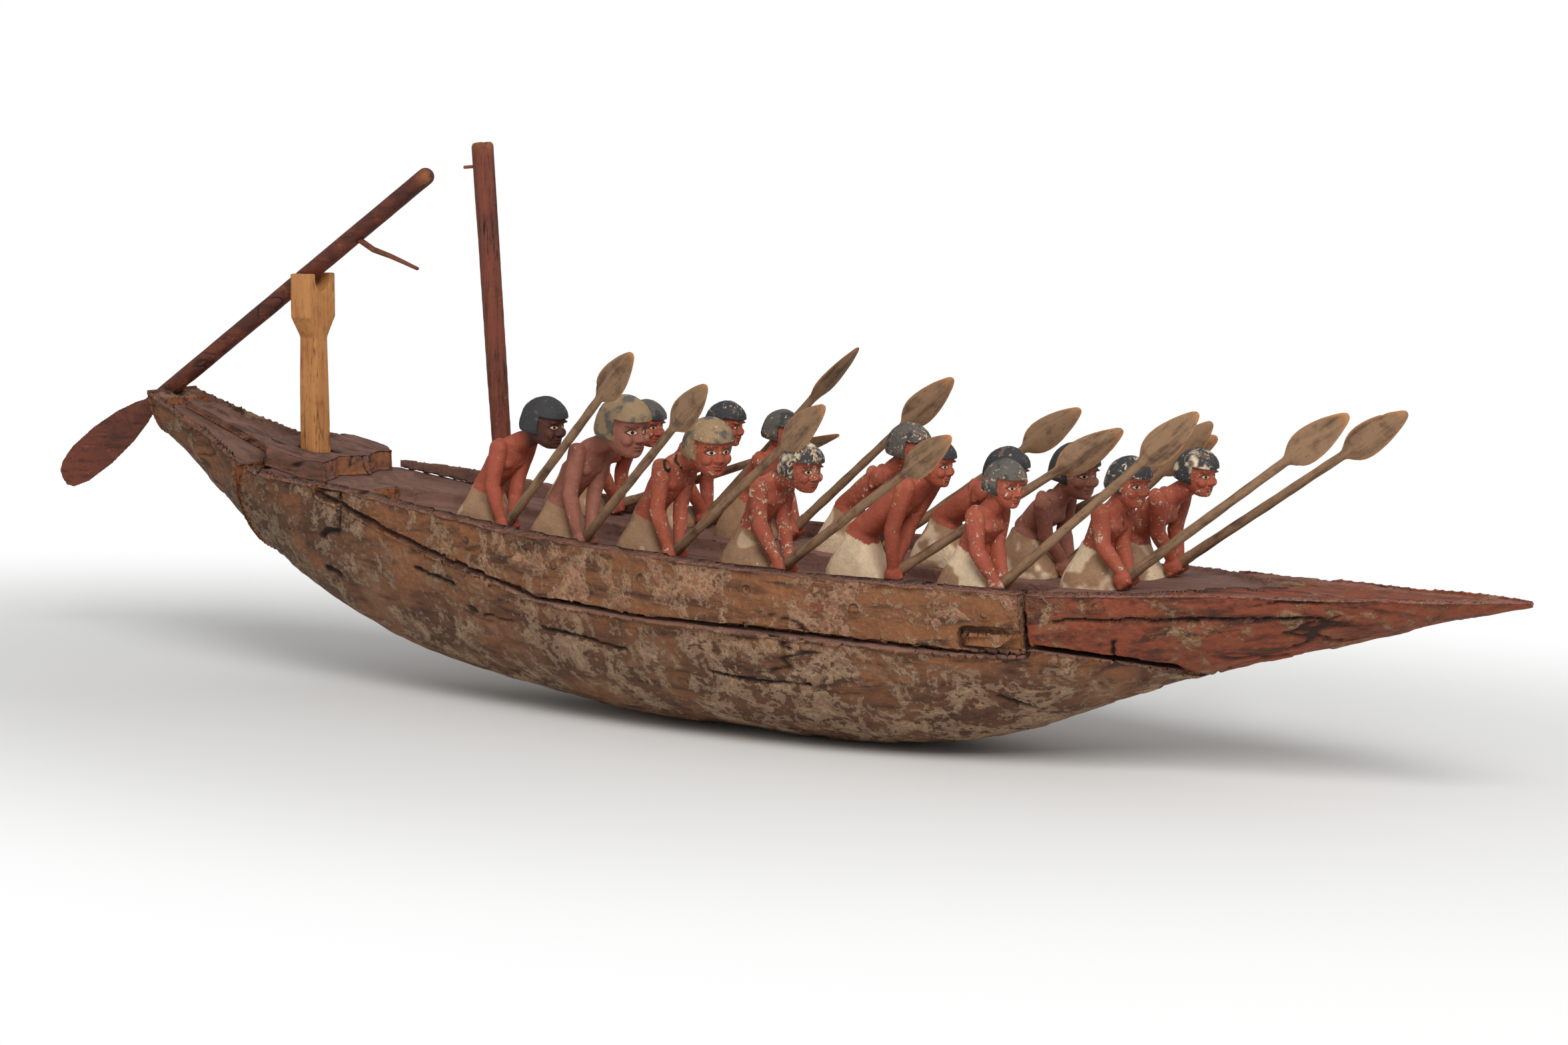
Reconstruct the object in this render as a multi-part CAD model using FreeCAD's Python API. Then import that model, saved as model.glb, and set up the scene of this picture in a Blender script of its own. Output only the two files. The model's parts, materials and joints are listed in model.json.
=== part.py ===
# Egyptian tomb model of a paddled river boat, carved in wood and pegged together.
# Frame: millimetres, +X towards the bow, +Y to port, +Z up.
# The origin is the middle of the carved flat under the hull, which the model rests on.
import FreeCAD, Part
import math
import os

# Hull outline
hull_length = 1150.0
hull_half_beam = 118.0
# One row for each frame of the hull: share of the half length, share of the half beam,
# height of the rim, height of the keel, fullness of the side, fullness of the floor
hull_frames = [
    (-1.000, 0.250, 220.0, 180.0, 0.40, 0.60),
    (-0.940, 0.310, 207.0, 150.0, 0.42, 0.60),
    (-0.870, 0.385, 193.0, 122.0, 0.45, 0.60),
    (-0.790, 0.540, 176.0, 94.0, 0.48, 0.60),
    (-0.704, 0.655, 165.5, 66.0, 0.50, 0.60),
    (-0.609, 0.720, 162.0, 41.0, 0.52, 0.62),
    (-0.500, 0.765, 156.0, 23.0, 0.55, 0.64),
    (-0.343, 0.830, 146.0, 10.0, 0.58, 0.66),
    (-0.139, 0.960, 138.0, -1.8, 0.60, 0.68),
    (0.000, 1.000, 134.4, -3.5, 0.60, 0.70),
    (0.153, 0.990, 131.0, -4.0, 0.60, 0.70),
    (0.296, 0.920, 129.7, 3.0, 0.56, 0.68),
    (0.421, 0.830, 128.7, 24.0, 0.52, 0.64),
    (0.570, 0.640, 130.5, 57.0, 0.46, 0.58),
    (0.722, 0.450, 133.0, 84.0, 0.40, 0.54),
    (0.866, 0.275, 135.0, 108.0, 0.36, 0.50),
    (0.970, 0.120, 136.0, 124.5, 0.36, 0.50),
    (1.000, 0.045, 136.3, 129.0, 0.40, 0.56),
]

# Joints between the hull timbers
stern_joint_x = -452.0
bow_joint_x = 260.0
bow_joint_foot = 89.0
bow_scarf = [(315.0, 82.0), (345.0, 76.0), (356.0, 60.0)]
seam_gap = 0.2
strake_thickness = 13.0
starboard_strake_aft = -352.0
port_strake_aft = -392.0
strake_blunt_end = 8.0
# The seam under the strakes: station and height
seam_line = [(-330.0, 148.0), (-244.0, 119.0), (-132.0, 93.0), (-45.0, 89.0), (91.0, 87.0),
             (214.0, 83.0)]
patch_x = (217.0, 259.6)
patch_z = (87.0, 99.0)
patch_depth = 12.0

# Hollows in the deck
well_depth = 12.0
well_aft_x = -372.0
channel_depth = 12.0
# Half width of the sunken channel along the middle: station and half width
channel_plan = [(-350.0, 16.0), (-300.0, 38.0), (95.0, 38.0), (128.0, 28.0), (180.0, 24.0),
                (236.0, 12.0)]
bow_deck_depth = 4.0
bow_deck_rim = 9.0
bow_deck_end_x = 405.0
bow_deck_point = 0.5
aft_deck_depth = 8.0
aft_rim = 7.5
aft_deck_end_x = -556.0
port_rim_gap = (-452.0, -392.0)
starboard_chip = (-452.0, -434.0)
chip_depth = 10.0
chip_foot_z = 144.0

# Stern plank and afterdeck slab
plank_x = (-552.0, -458.0)
plank_half_width = 11.0
plank_aft_half_width = 8.2
plank_rise = 7.5
slab_x = (-457.5, -380.0)
slab_starboard = -38.0
slab_port = 70.0
slab_rise = 8.5
# The slab's broken forward edge: how far each point stands back from its end, and where it
# lies from the starboard edge (0) to the port edge (1)
slab_edge = [(0.0, 0.0), (4.8, 0.15), (14.4, 0.33), (3.2, 0.54), (16.0, 0.78), (8.0, 0.85),
             (25.6, 1.0)]
slab_aft_corner = 16.0

# Pegs and dowels
strake_peg_radius = 3.0
strake_peg_depth = 24.0
# Station and height of each strake peg, the same on both sides
strake_peg_spots = [(-197.0, 130.0), (-109.5, 120.0), (-28.0, 117.0), (60.0, 116.0),
                    (142.0, 109.0), (235.0, 112.0), (308.0, 119.0)]
dowel_radius = 4.0
dowel_length = 36.0
stern_dowel_spread = 26.0
stern_dowel_z = 140.0
bow_dowel_spread = 50.0
bow_dowel_z = 106.0
figure_peg_radius = 2.5
figure_peg_length = 22.0
peg_clearance = 0.05

# Mast
mast_foot_x = -232.0
mast_height = 311.0
mast_lean = 3.9
mast_turn = -30.0
mast_foot_size = (12.5, 13.5)
mast_head_size = (15.0, 16.0)
mast_corner = 0.24
mast_socket_depth = 20.0
mast_socket_clearance = 0.3
mast_head_round = 4.6
mast_head_notch = 4.0
mast_pin_radius = 1.6
mast_pin_length = 21.0
mast_pin_drop = 18.0
mast_pin_inset = 2.0

# Steering oar, its post and its tiller
oar_pivot = (-422.0, 315.5)
oar_slope = 33.0
loom_radius = 7.0
handle_radius = 6.9
oar_clearance = 0.35
handle_reach = 143.0
blade_root_reach = 214.0
blade_root_overlap = 8.0
oar_blade_length = 114.0
oar_blade_width = 36.0
oar_blade_thickness = 7.5
# The oar's blade: share of its length, share of its width, share of its thickness
oar_blade_leaf = [(0.0, 0.36, 1.0), (0.12, 0.62, 1.0), (0.3, 0.86, 0.9), (0.55, 1.0, 0.8),
                  (0.8, 0.94, 0.6), (0.94, 0.7, 0.5), (1.0, 0.4, 0.4)]
post_side = 20.6
post_top_side = 18.6
post_corner = 0.18
post_head_size = (21.0, 37.0)
post_head_z = (272.0, 314.0)
fork_depth = 13.4
fork_half_width = 8.0
post_neck_height = 8.0
post_tenon = 12.0
tenon_clearance = 0.1
tiller_reach = 51.0
tiller_radius = 2.7
tiller_tip_radius = 1.7
# Points of the tiller ahead of and below its root on the loom
tiller_points = [(19.0, -10.0), (35.5, -14.5), (49.0, -19.0), (62.0, -23.5)]

# Paddles
shaft_radius = 3.9
shaft_neck_radius = 3.3
paddle_butt = 6.0
paddle_grip = 18.0
paddle_blade_length = 52.0
paddle_blade_width = 24.0
paddle_blade_thickness = 7.0
grip_clearance = 0.08
# The leaf blade: share of its length, share of its width, share of its thickness
blade_leaf = [(0.0, 0.30, 0.95), (0.12, 0.72, 1.0), (0.28, 0.96, 0.95), (0.48, 1.0, 0.85),
              (0.70, 0.84, 0.7), (0.88, 0.56, 0.55), (1.0, 0.24, 0.4)]

# Crew
kilt_length = 48.0
kilt_half_width = 16.5
kilt_hip_height = 14.3
kilt_hip_half_length = 21.1
kilt_sink = 4.0
kilt_waist_height = 34.0
knee_gap = 7.5
waist_radii = (9.5, 12.0)
chest_radii = (10.5, 15.5)
chest_height_share = 0.62
yoke_radii = (8.0, 15.5, 6.0)
shoulder_plane = 13.5
# The notch that an arm sits in: how far it reaches behind, ahead, below and above the shoulder
shoulder_notch = (14.0, 12.0, 16.0, 9.0)
shoulder_drop = 5.0
neck_radius = 6.4
head_radii = (14.5, 12.0, 16.0)
wig_radii = (17.0, 15.0, 15.5)
wig_back = 2.2
wig_rise = 2.0
face_forward = 1.5
face_drop = 3.0
head_nod = 12.0
brow_forward = 5.5
brow_height = 1.0
arm_radius = 6.0
elbow_radius = 5.2
wrist_radius = 4.2
arm_outset = 4.4
elbow_back = 5.0
elbow_out = 2.0
fist_radii = (7.4, 5.4, 6.8)
fist_spread = 5.0
fist_gap = 0.5
fist_gap_reach = (20.0, 14.0, 9.0)
arm_peg_radius = 1.8
arm_peg_length = 6.0
# One row for each paddler, numbered from the stern. Hand station, distance of the body from
# the middle line, how far outboard of the body the hands are, how far the shoulders and
# the head are ahead of the hands, the heights of the hands, shoulders and crown above deck, and
# the size of the head beside head_radii and wig_radii.
crew_starboard = [
    (-178.0, 60.0, 12.0, -2.0, 28.0, 8.0, 69.0, 102.0, 1.02),
    (-104.0, 66.0, 12.0, -1.0, 29.0, 7.5, 76.0, 112.0, 1.2),
    (-26.0, 66.0, 12.0, -6.0, 23.0, 7.5, 73.0, 104.0, 1.12),
    (63.0, 62.0, 12.0, -17.0, 9.0, 7.5, 68.0, 94.0, 0.95),
    (140.0, 44.0, 10.0, 14.0, 27.0, 8.0, 73.6, 102.0, 0.9),
    (228.0, 54.0, 11.0, -15.0, -1.0, 8.0, 60.0, 93.0, 0.88),
    (308.0, 28.0, 10.0, -15.0, -2.0, 7.5, 54.0, 88.0, 0.92),
]
crew_port = [
    (-182.0, 60.0, 12.0, 8.0, 36.0, 7.5, 62.0, 91.0, 0.96),
    (-105.0, 66.0, 12.0, 2.0, 28.0, 7.5, 64.0, 98.0, 0.9),
    (-27.0, 66.0, 12.0, -10.0, 0.0, 7.5, 65.0, 98.0, 0.86),
    (59.0, 62.0, 12.0, 5.0, 25.0, 7.5, 63.0, 98.0, 0.95),
    (144.0, 54.0, 12.0, 9.0, 25.0, 7.5, 61.0, 88.0, 0.95),
    (215.0, 44.0, 10.0, -4.0, 13.0, 7.5, 58.0, 96.0, 1.06),
    (307.0, 28.0, 10.0, 0.0, 21.0, 7.5, 59.0, 90.0, 0.88),
]
# Each paddle: outboard swing, rise, length from the hand to the tip, turn of the blade
paddles_starboard = [
    (19.0, 39.9, 208.0, 20.0),
    (22.0, 37.2, 200.0, 15.0),
    (18.0, 34.6, 202.0, 5.0),
    (18.0, 30.7, 201.0, 0.0),
    (-27.0, 33.0, 184.0, 5.0),
    (1.0, 40.3, 191.0, 5.0),
    (0.0, 36.7, 194.0, 0.0),
]
paddles_port = [
    (20.0, 18.4, 182.0, 60.0),
    (14.0, 47.4, 178.0, 70.0),
    (8.0, 42.5, 173.0, 10.0),
    (7.0, 35.1, 180.0, 5.0),
    (5.0, 28.1, 196.0, 5.0),
    (0.0, 44.0, 153.0, 10.0),
    (2.0, 34.5, 197.0, 0.0),
]
# The paddlers whose arm on the camera side is broken off at the shoulder
broken_inboard_arm = ["port_4", "port_5"]

# Reach of the cutting blocks past everything else
far = 1000.0


def vec(x, y, z):
    return FreeCAD.Vector(x, y, z)


half_length = hull_length / 2.0
frame_x = [share * half_length for share, *_ in hull_frames]


def between(x, stations, values):
    """Value at x on the straight lines through the given stations."""
    if x <= stations[0]:
        return values[0]
    for i in range(1, len(stations)):
        if x <= stations[i]:
            t = (x - stations[i - 1]) / (stations[i] - stations[i - 1])
            return values[i - 1] + t * (values[i] - values[i - 1])
    return values[-1]


def rim_height(x):
    return between(x, frame_x, [row[2] for row in hull_frames])


def half_beam(x):
    return between(x, frame_x, [row[1] * hull_half_beam for row in hull_frames])


def well_floor(x):
    return rim_height(x) - well_depth


def bow_deck(x):
    return rim_height(x) - bow_deck_depth


def aft_floor(x):
    return rim_height(x) - aft_deck_depth


def slab_top(x):
    return rim_height(x) + slab_rise


def deck_height(x):
    """Height of the deck that the crew sits on."""
    return bow_deck(x) if x > bow_joint_x else well_floor(x)


def box_between(low, high):
    size = [high[i] - low[i] for i in range(3)]
    return Part.makeBox(size[0], size[1], size[2], vec(*low))


def side_prism(points, low_y=-far, high_y=far):
    """Solid with the given outline in X and Z, between two distances from the middle line."""
    ring = [vec(x, low_y, z) for x, z in points]
    face = Part.Face(Part.makePolygon(ring + ring[:1]))
    return face.extrude(vec(0, high_y - low_y, 0))


def plan_prism(points, low_z=-far, high_z=far):
    """Solid with the given outline in X and Y, between two heights."""
    ring = [vec(x, y, low_z) for x, y in points]
    face = Part.Face(Part.makePolygon(ring + ring[:1]))
    return face.extrude(vec(0, 0, high_z - low_z))


def stations_between(first, last):
    """First, last and every hull frame between them."""
    return [first] + [x for x in frame_x if first < x < last] + [last]


def above_line(first, last, height_at):
    """Everything above a line of heights, from one station to another."""
    xs = stations_between(first, last)
    line = [(x, height_at(x)) for x in xs]
    return side_prism(line + [(last, far), (first, far)])


def both_sides(half_outline):
    """Closed plan from one row of stations and half widths."""
    return [(x, -w) for x, w in half_outline] + [(x, w) for x, w in reversed(half_outline)]


def inside_rim(first, last, rim, end_half_width=None):
    """Everything inside a rim of the given thickness, from one station to another."""
    xs = stations_between(first, last)
    widths = [half_beam(x) - rim for x in xs]
    if end_half_width is not None:
        widths[-1] = end_half_width
    return plan_prism(both_sides(list(zip(xs, widths))))


def frame_wire(row):
    """Closed outline of one hull frame: a level top and two full curves down to the keel."""
    share, beam_share, top, keel, side, floor = row
    x = share * half_length
    b = beam_share * hull_half_beam
    depth = top - keel
    curves = []
    for s in (1, -1):
        poles = [vec(x, s * b, top), vec(x, s * b, top - side * depth),
                 vec(x, s * floor * b, keel), vec(x, 0, keel)]
        if s < 0:
            poles.reverse()
        curve = Part.BezierCurve()
        curve.setPoles(poles)
        curves.append(curve.toShape())
    lid = Part.makeLine(vec(x, -b, top), vec(x, b, top))
    return Part.Wire(curves + [lid])


def hull_envelope():
    """The whole outside of the hull, with the flat that it rests on."""
    body = Part.makeLoft([frame_wire(row) for row in hull_frames], True, False)
    return body.cut(box_between((-far, -far, -far), (far, far, 0.0)))


def strake_zone(aft_x, gap):
    """Where a strake is: above the seam, outside the well, from its aft end to the bow joint."""
    blunt = rim_height(aft_x) - strake_blunt_end
    line = [(aft_x - gap, blunt - gap)] + [(x, z - gap) for x, z in seam_line if x > aft_x]
    line += [(bow_joint_x, seam_line[-1][1] - gap)]
    zone = side_prism(line + [(bow_joint_x, far), (aft_x - gap, far)])
    return zone.cut(inside_rim(aft_x - 1.0 - gap, bow_joint_x + 1.0, strake_thickness + gap))


def half(side):
    """Everything to port (1) or to starboard (-1) of the middle line."""
    return box_between((-far, min(0, side * far), -far), (far, max(0, side * far), far))


def bow_zone(gap):
    """Where the bow block is: forward of the butt joint and above the scarf."""
    line = [(bow_joint_x - gap, far), (bow_joint_x - gap, bow_joint_foot - gap)]
    line += [(x - gap, z - gap) for x, z in bow_scarf]
    line += [(bow_scarf[-1][0] - gap, -far), (far, -far), (far, far)]
    return side_prism(line)


def patch_zone(gap):
    outer = -half_beam(patch_x[0])
    low = (patch_x[0] - gap, outer - far, patch_z[0] - gap)
    high = (patch_x[1] + gap, outer + patch_depth + gap, patch_z[1] + gap)
    return box_between(low, high)


def slab_zone():
    """The afterdeck slab: it follows the rim's slope and has a broken forward edge."""
    x0, x1 = slab_x
    c = slab_aft_corner
    width = slab_port - slab_starboard
    front = [(x1 - back, slab_starboard + share * width) for back, share in slab_edge]
    outline = [(x0, slab_starboard + c), (x0 + c, slab_starboard)] + front
    outline += [(x0 + c, slab_port), (x0, slab_port - 1.5 * c)]
    plan = plan_prism(outline)
    return plan.common(above_line(x0, x1, aft_floor)).cut(above_line(x0, x1, slab_top))


def plank_zone():
    x0, x1 = plank_x
    outline = both_sides([(x0, plank_aft_half_width), (x1, plank_half_width)])
    top = above_line(x0, x1, lambda x: aft_floor(x) + plank_rise)
    return plan_prism(outline).common(above_line(x0, x1, aft_floor)).cut(top)


def peg_cylinder(spot, side, radius):
    x, z = spot
    outer = half_beam(x) + strake_peg_depth
    inner = half_beam(x) - strake_peg_depth
    return Part.makeCylinder(radius, outer - inner, vec(x, side * inner, z), vec(0, side, 0))


def dowel_pair(x, spread, z, radius, spare=0.0):
    length = dowel_length + 2 * spare
    start = x - length / 2.0
    pair = [Part.makeCylinder(radius, length, vec(start, s * spread, z), vec(1, 0, 0))
            for s in (-1, 1)]
    return Part.makeCompound(pair)


def chamfered_square(size_x, size_y, corner, z):
    """Closed outline with cut corners, centred on the Z axis."""
    a, b = size_x / 2.0, size_y / 2.0
    c = corner * min(size_x, size_y)
    ring = [(-a + c, -b), (a - c, -b), (a, -b + c), (a, b - c), (a - c, b), (-a + c, b),
            (-a, b - c), (-a, -b + c)]
    points = [vec(x, y, z) for x, y in ring]
    return Part.makePolygon(points + points[:1])


def mast_parts():
    """Mast, its pin, and the socket that its foot stands in, at their places."""
    floor = rim_height(mast_foot_x) - well_depth - channel_depth
    mast = mast_taper(0.0).common(mast_head_outline()).cut(mast_head_wedge())
    mast.rotate(vec(0, 0, 0), vec(0, 0, 1), mast_turn)
    pin_start = vec(mast_pin_inset - mast_pin_length, 0, mast_height - mast_pin_drop)
    pin = Part.makeCylinder(mast_pin_radius, mast_pin_length, pin_start, vec(1, 0, 0))
    mast = mast.cut(Part.makeCylinder(mast_pin_radius + peg_clearance, mast_pin_length + peg_clearance,
                                      pin_start, vec(1, 0, 0)))
    socket = mast_taper(mast_socket_clearance)
    socket.rotate(vec(0, 0, 0), vec(0, 0, 1), mast_turn)
    for shape in (mast, pin, socket):
        shape.rotate(vec(0, 0, 0), vec(0, 1, 0), -mast_lean)
        shape.translate(vec(mast_foot_x, 0, floor - mast_socket_depth))
    return mast, pin, socket


def mast_taper(grow):
    """The mast's tapered square shaft, standing on its foot, wider all round by grow."""
    foot = [size + 2 * grow for size in mast_foot_size]
    head = [size + 2 * grow for size in mast_head_size]
    return Part.makeLoft([chamfered_square(*foot, mast_corner, 0.0),
                          chamfered_square(*head, mast_corner, mast_height)], True, True)


def mast_head_outline():
    """Everything under the rounded head, which ends in two lobes side by side."""
    r = mast_head_round
    spread = mast_head_size[1] / 2.0 - r
    outline = box_between((-far, -far, -far), (far, far, mast_height - r))
    for s in (-1, 1):
        start = vec(-far, s * spread, mast_height - r)
        outline = outline.fuse(Part.makeCylinder(r, 2 * far, start, vec(1, 0, 0)))
    return outline


def mast_head_wedge():
    """The notch between the two lobes of the mast head."""
    w = mast_head_notch / 2.0
    top = mast_height + peg_clearance
    ring = [vec(-far, -w, top), vec(-far, w, top), vec(-far, 0, mast_height - mast_head_notch)]
    return Part.Face(Part.makePolygon(ring + ring[:1])).extrude(vec(2 * far, 0, 0))


def capsule_chain(points, radii):
    """A limb: a ball at each point and a cone between each two."""
    body = Part.makeSphere(radii[0], points[0])
    for i in range(1, len(points)):
        run = points[i] - points[i - 1]
        body = body.fuse(limb_cone(points[i - 1], run, radii[i - 1], radii[i]))
        body = body.fuse(Part.makeSphere(radii[i], points[i]))
    return body


def limb_cone(start, run, r1, r2):
    if abs(r1 - r2) < 1e-6:
        return Part.makeCylinder(r1, run.Length, start, run)
    # The cone touches both balls, so it starts and ends at their rings of contact
    s = (r1 - r2) / run.Length
    c = math.sqrt(1 - s * s)
    unit = vec(run.x, run.y, run.z)
    unit.normalize()
    a = start + unit * (r1 * s)
    length = run.Length - r1 * s + r2 * s
    return Part.makeCone(r1 * c, r2 * c, length, a, unit)


oar_axis = vec(math.cos(math.radians(oar_slope)), 0, math.sin(math.radians(oar_slope)))
oar_origin = vec(oar_pivot[0], 0, oar_pivot[1])


def oar_point(reach):
    return oar_origin + oar_axis * reach


def oar_parts():
    """Steering oar and tiller. The loom turns in the fork and in the stern notch."""
    loom_tail = oar_point(-blade_root_reach - blade_root_overlap / 2.0)
    loom_top = oar_point(handle_reach - handle_radius)
    loom = capsule_chain([loom_tail, oar_point(tiller_reach - loom_radius), loom_top],
                         [loom_radius, loom_radius, handle_radius])
    blade_root = oar_point(blade_root_overlap - blade_root_reach)
    blade_size = (oar_blade_length + blade_root_overlap, oar_blade_width, oar_blade_thickness)
    oar = loom.fuse(leaf_blade(blade_root, -oar_axis, vec(0, 1, 0), oar_blade_leaf, blade_size))
    root = oar_point(tiller_reach)
    path = [root] + [root + vec(dx, 0, dz) for dx, dz in tiller_points]
    steps = len(path) - 1
    thinning = (tiller_radius - tiller_tip_radius) / steps
    tiller = capsule_chain(path, [tiller_radius - thinning * i for i in range(steps + 1)])
    first = path[1] - path[0]
    bore = Part.makeCylinder(tiller_radius + peg_clearance, first.Length, root, first)
    bore = bore.fuse(Part.makeSphere(tiller_radius + peg_clearance, root))
    return oar.cut(bore), tiller


def leaf_blade(start, axis, face_normal, stations, size):
    """A blade with a raised rib along both faces: four-cornered sections from root to tip."""
    length, width, thickness = size
    across = axis.cross(face_normal)
    across.normalize()
    normal = across.cross(axis)
    normal.normalize()
    wires = []
    for along, wide, thick in stations:
        middle = start + axis * (along * length)
        a = across * (wide * width / 2.0)
        n = normal * (thick * thickness / 2.0)
        ring = [middle + a, middle + n, middle - a, middle - n]
        wires.append(Part.makePolygon(ring + ring[:1]))
    return Part.makeLoft(wires, True, True)


def oar_post():
    """The post that carries the steering oar, with a fork at its top."""
    x = oar_pivot[0]
    seat = slab_top(x)
    neck_z = post_head_z[0] - post_neck_height
    head_z = post_head_z[0] + post_neck_height
    foot = chamfered_square(post_side, post_side, post_corner, seat - post_tenon)
    at_seat = chamfered_square(post_side, post_side, post_corner, seat)
    neck = chamfered_square(post_top_side, post_top_side, post_corner, neck_z)
    head = chamfered_square(*post_head_size, post_corner, head_z)
    top = chamfered_square(*post_head_size, post_corner, post_head_z[1])
    post = Part.makeLoft([foot, at_seat, neck], True, True)
    post = post.fuse(Part.makeLoft([neck, head], True, True)).fuse(Part.makeLoft([head, top], True, True))
    post.translate(vec(x, 0, 0))
    return post.cut(oar_trough()).cut(fork_gap())


def fork_gap():
    """The level gap between the two prongs of the post's fork, round at its foot."""
    middle = post_head_z[1] - fork_depth + fork_half_width
    foot = Part.makeCylinder(fork_half_width, 2 * far, vec(-far, 0, middle), vec(1, 0, 0))
    return foot.fuse(box_between((-far, -fork_half_width, middle), (far, fork_half_width, far)))


def oar_trough():
    """The path of the loom, open upwards."""
    r = loom_radius + oar_clearance
    start = oar_point(-blade_root_reach)
    groove = Part.makeCylinder(r, blade_root_reach + handle_reach, start, oar_axis)
    ring = [start + vec(0, -r, 0), start + vec(0, r, 0)]
    end = oar_point(handle_reach)
    wall = Part.makePolygon([ring[0], ring[1], end + vec(0, r, 0), end + vec(0, -r, 0), ring[0]])
    return groove.fuse(Part.Face(wall).extrude(vec(0, 0, far)))


def slab_mortise():
    """The hole in the slab for the post's tenon."""
    x = oar_pivot[0]
    side = post_side + 2 * tenon_clearance
    seat = slab_top(x)
    hole = Part.makeLoft([chamfered_square(side, side, post_corner, seat - post_tenon - tenon_clearance),
                          chamfered_square(side, side, post_corner, seat + post_tenon)], True, True)
    hole.translate(vec(x, 0, 0))
    return hole


def paddle_axes(side, row):
    swing, rise, reach, turn = row
    s, p = math.radians(swing) * side, math.radians(rise)
    axis = vec(math.cos(p) * math.cos(s), math.cos(p) * math.sin(s), math.sin(p))
    level = vec(-math.sin(s), math.cos(s), 0)
    upward = axis.cross(level)
    t = math.radians(turn)
    return axis, level, level * math.cos(t) + upward * math.sin(t)


def paddle(hand, side, row):
    """A paddle: a round shaft from the hands and a leaf blade at its upper end."""
    reach = row[2]
    axis, _, face_normal = paddle_axes(side, row)
    neck_reach = reach - paddle_blade_length
    grip_end = paddle_grip - paddle_butt
    grip = Part.makeCylinder(shaft_radius, paddle_grip, hand - axis * paddle_butt, axis)
    shaft = Part.makeCone(shaft_radius, shaft_neck_radius, neck_reach - grip_end,
                          hand + axis * grip_end, axis)
    neck_start = hand + axis * (neck_reach - shaft_neck_radius / 2.0)
    neck = Part.makeCylinder(shaft_neck_radius, blade_leaf[1][0] * paddle_blade_length, neck_start, axis)
    blade = leaf_blade(hand + axis * neck_reach, axis, face_normal, blade_leaf,
                       (paddle_blade_length, paddle_blade_width, paddle_blade_thickness))
    return shaft.fuse(grip).fuse(neck).fuse(blade)


def ball(radii, centre, tilt=0.0):
    """An egg-shaped solid with its own radius along each axis, tilted nose down."""
    shape = Part.makeSphere(1.0)
    grow = FreeCAD.Matrix()
    grow.scale(radii[0], radii[1], radii[2])
    shape = shape.transformGeometry(grow)
    shape.rotate(vec(0, 0, 0), vec(0, 1, 0), tilt)
    shape.translate(centre)
    return shape


def oval_wire(centre, radii, tilt):
    """A level or tilted oval: half width along X and along Y."""
    oval = Part.Ellipse(vec(0, 0, 0), max(radii), min(radii)).toShape()
    if radii[1] > radii[0]:
        oval.rotate(vec(0, 0, 0), vec(0, 0, 1), 90.0)
    wire = Part.Wire([oval])
    wire.rotate(vec(0, 0, 0), vec(0, 1, 0), tilt)
    wire.translate(centre)
    return wire


def figure_places(side, row):
    """Where one paddler's hands, hips, shoulders and head are."""
    hand_x, body_y, hand_out, shoulder_dx, head_dx, hand_up, shoulder_up, crown_up, head_size = row
    deck = deck_height(hand_x)
    y = side * body_y
    seat_x = hand_x - knee_gap - kilt_length / 2.0
    return {
        "hand": vec(hand_x, side * (body_y + hand_out), deck + hand_up),
        "seat": vec(seat_x, y, deck_height(seat_x)),
        "waist": vec(seat_x, y, deck + kilt_waist_height),
        "shoulder": vec(hand_x + shoulder_dx, y, deck + shoulder_up - shoulder_drop),
        "head": vec(hand_x + head_dx, y, deck + crown_up - head_size * (wig_radii[2] + wig_rise)),
        "head_size": head_size,
    }


def paddler_body(side, row, deck_solid):
    """Kilt, trunk, neck, head and wig, carved from one piece, cut flat at the shoulders."""
    at = figure_places(side, row)
    seat, waist, shoulder, head = at["seat"], at["waist"], at["shoulder"], at["head"]
    lean = shoulder - waist
    tilt = math.degrees(math.atan2(lean.x, lean.z))
    belt = oval_wire(waist, waist_radii, tilt / 3.0)
    kilt_base = oval_wire(seat - vec(0, 0, kilt_sink), (kilt_length / 2.0, kilt_half_width), 0)
    kilt_hip = oval_wire(seat + vec(0, 0, kilt_hip_height), (kilt_hip_half_length, kilt_half_width), 0)
    kilt = Part.makeLoft([kilt_base, kilt_hip, belt], True, False)
    chest = oval_wire(waist + lean * chest_height_share, chest_radii, tilt)
    collar = oval_wire(shoulder, yoke_radii[:2], tilt)
    trunk = Part.makeLoft([belt, chest, collar], True, False)
    throat = head - shoulder
    neck = Part.makeCylinder(neck_radius, throat.Length, shoulder, throat)
    body = kilt.fuse(trunk).fuse(ball(yoke_radii, shoulder, tilt)).fuse(neck)
    size = at["head_size"]
    face = ball([size * r for r in head_radii], head + vec(face_forward, 0, -face_drop) * size, head_nod)
    wig = ball([size * r for r in wig_radii], head + vec(-wig_back, 0, wig_rise) * size, head_nod)
    body = body.fuse(face)
    face_window = box_between((head.x + size * brow_forward, head.y - far, head.z - far),
                              (head.x + far, head.y + far, head.z + size * brow_height))
    body = body.fuse(wig.cut(face_window))
    behind, ahead, below, above = shoulder_notch
    for s in (-1, 1):
        ys = sorted((shoulder.y + s * shoulder_plane, shoulder.y + s * far))
        body = body.cut(box_between((shoulder.x - behind, ys[0], shoulder.z - below),
                                    (shoulder.x + ahead, ys[1], shoulder.z + above)))
    return body.cut(deck_solid)


def arm_peg(shoulder, s, radius, spare):
    start = shoulder + vec(0, s * (shoulder_plane - arm_peg_length - spare), 0)
    return Part.makeCylinder(radius, 2 * arm_peg_length + spare, start, vec(0, s, 0))


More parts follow.
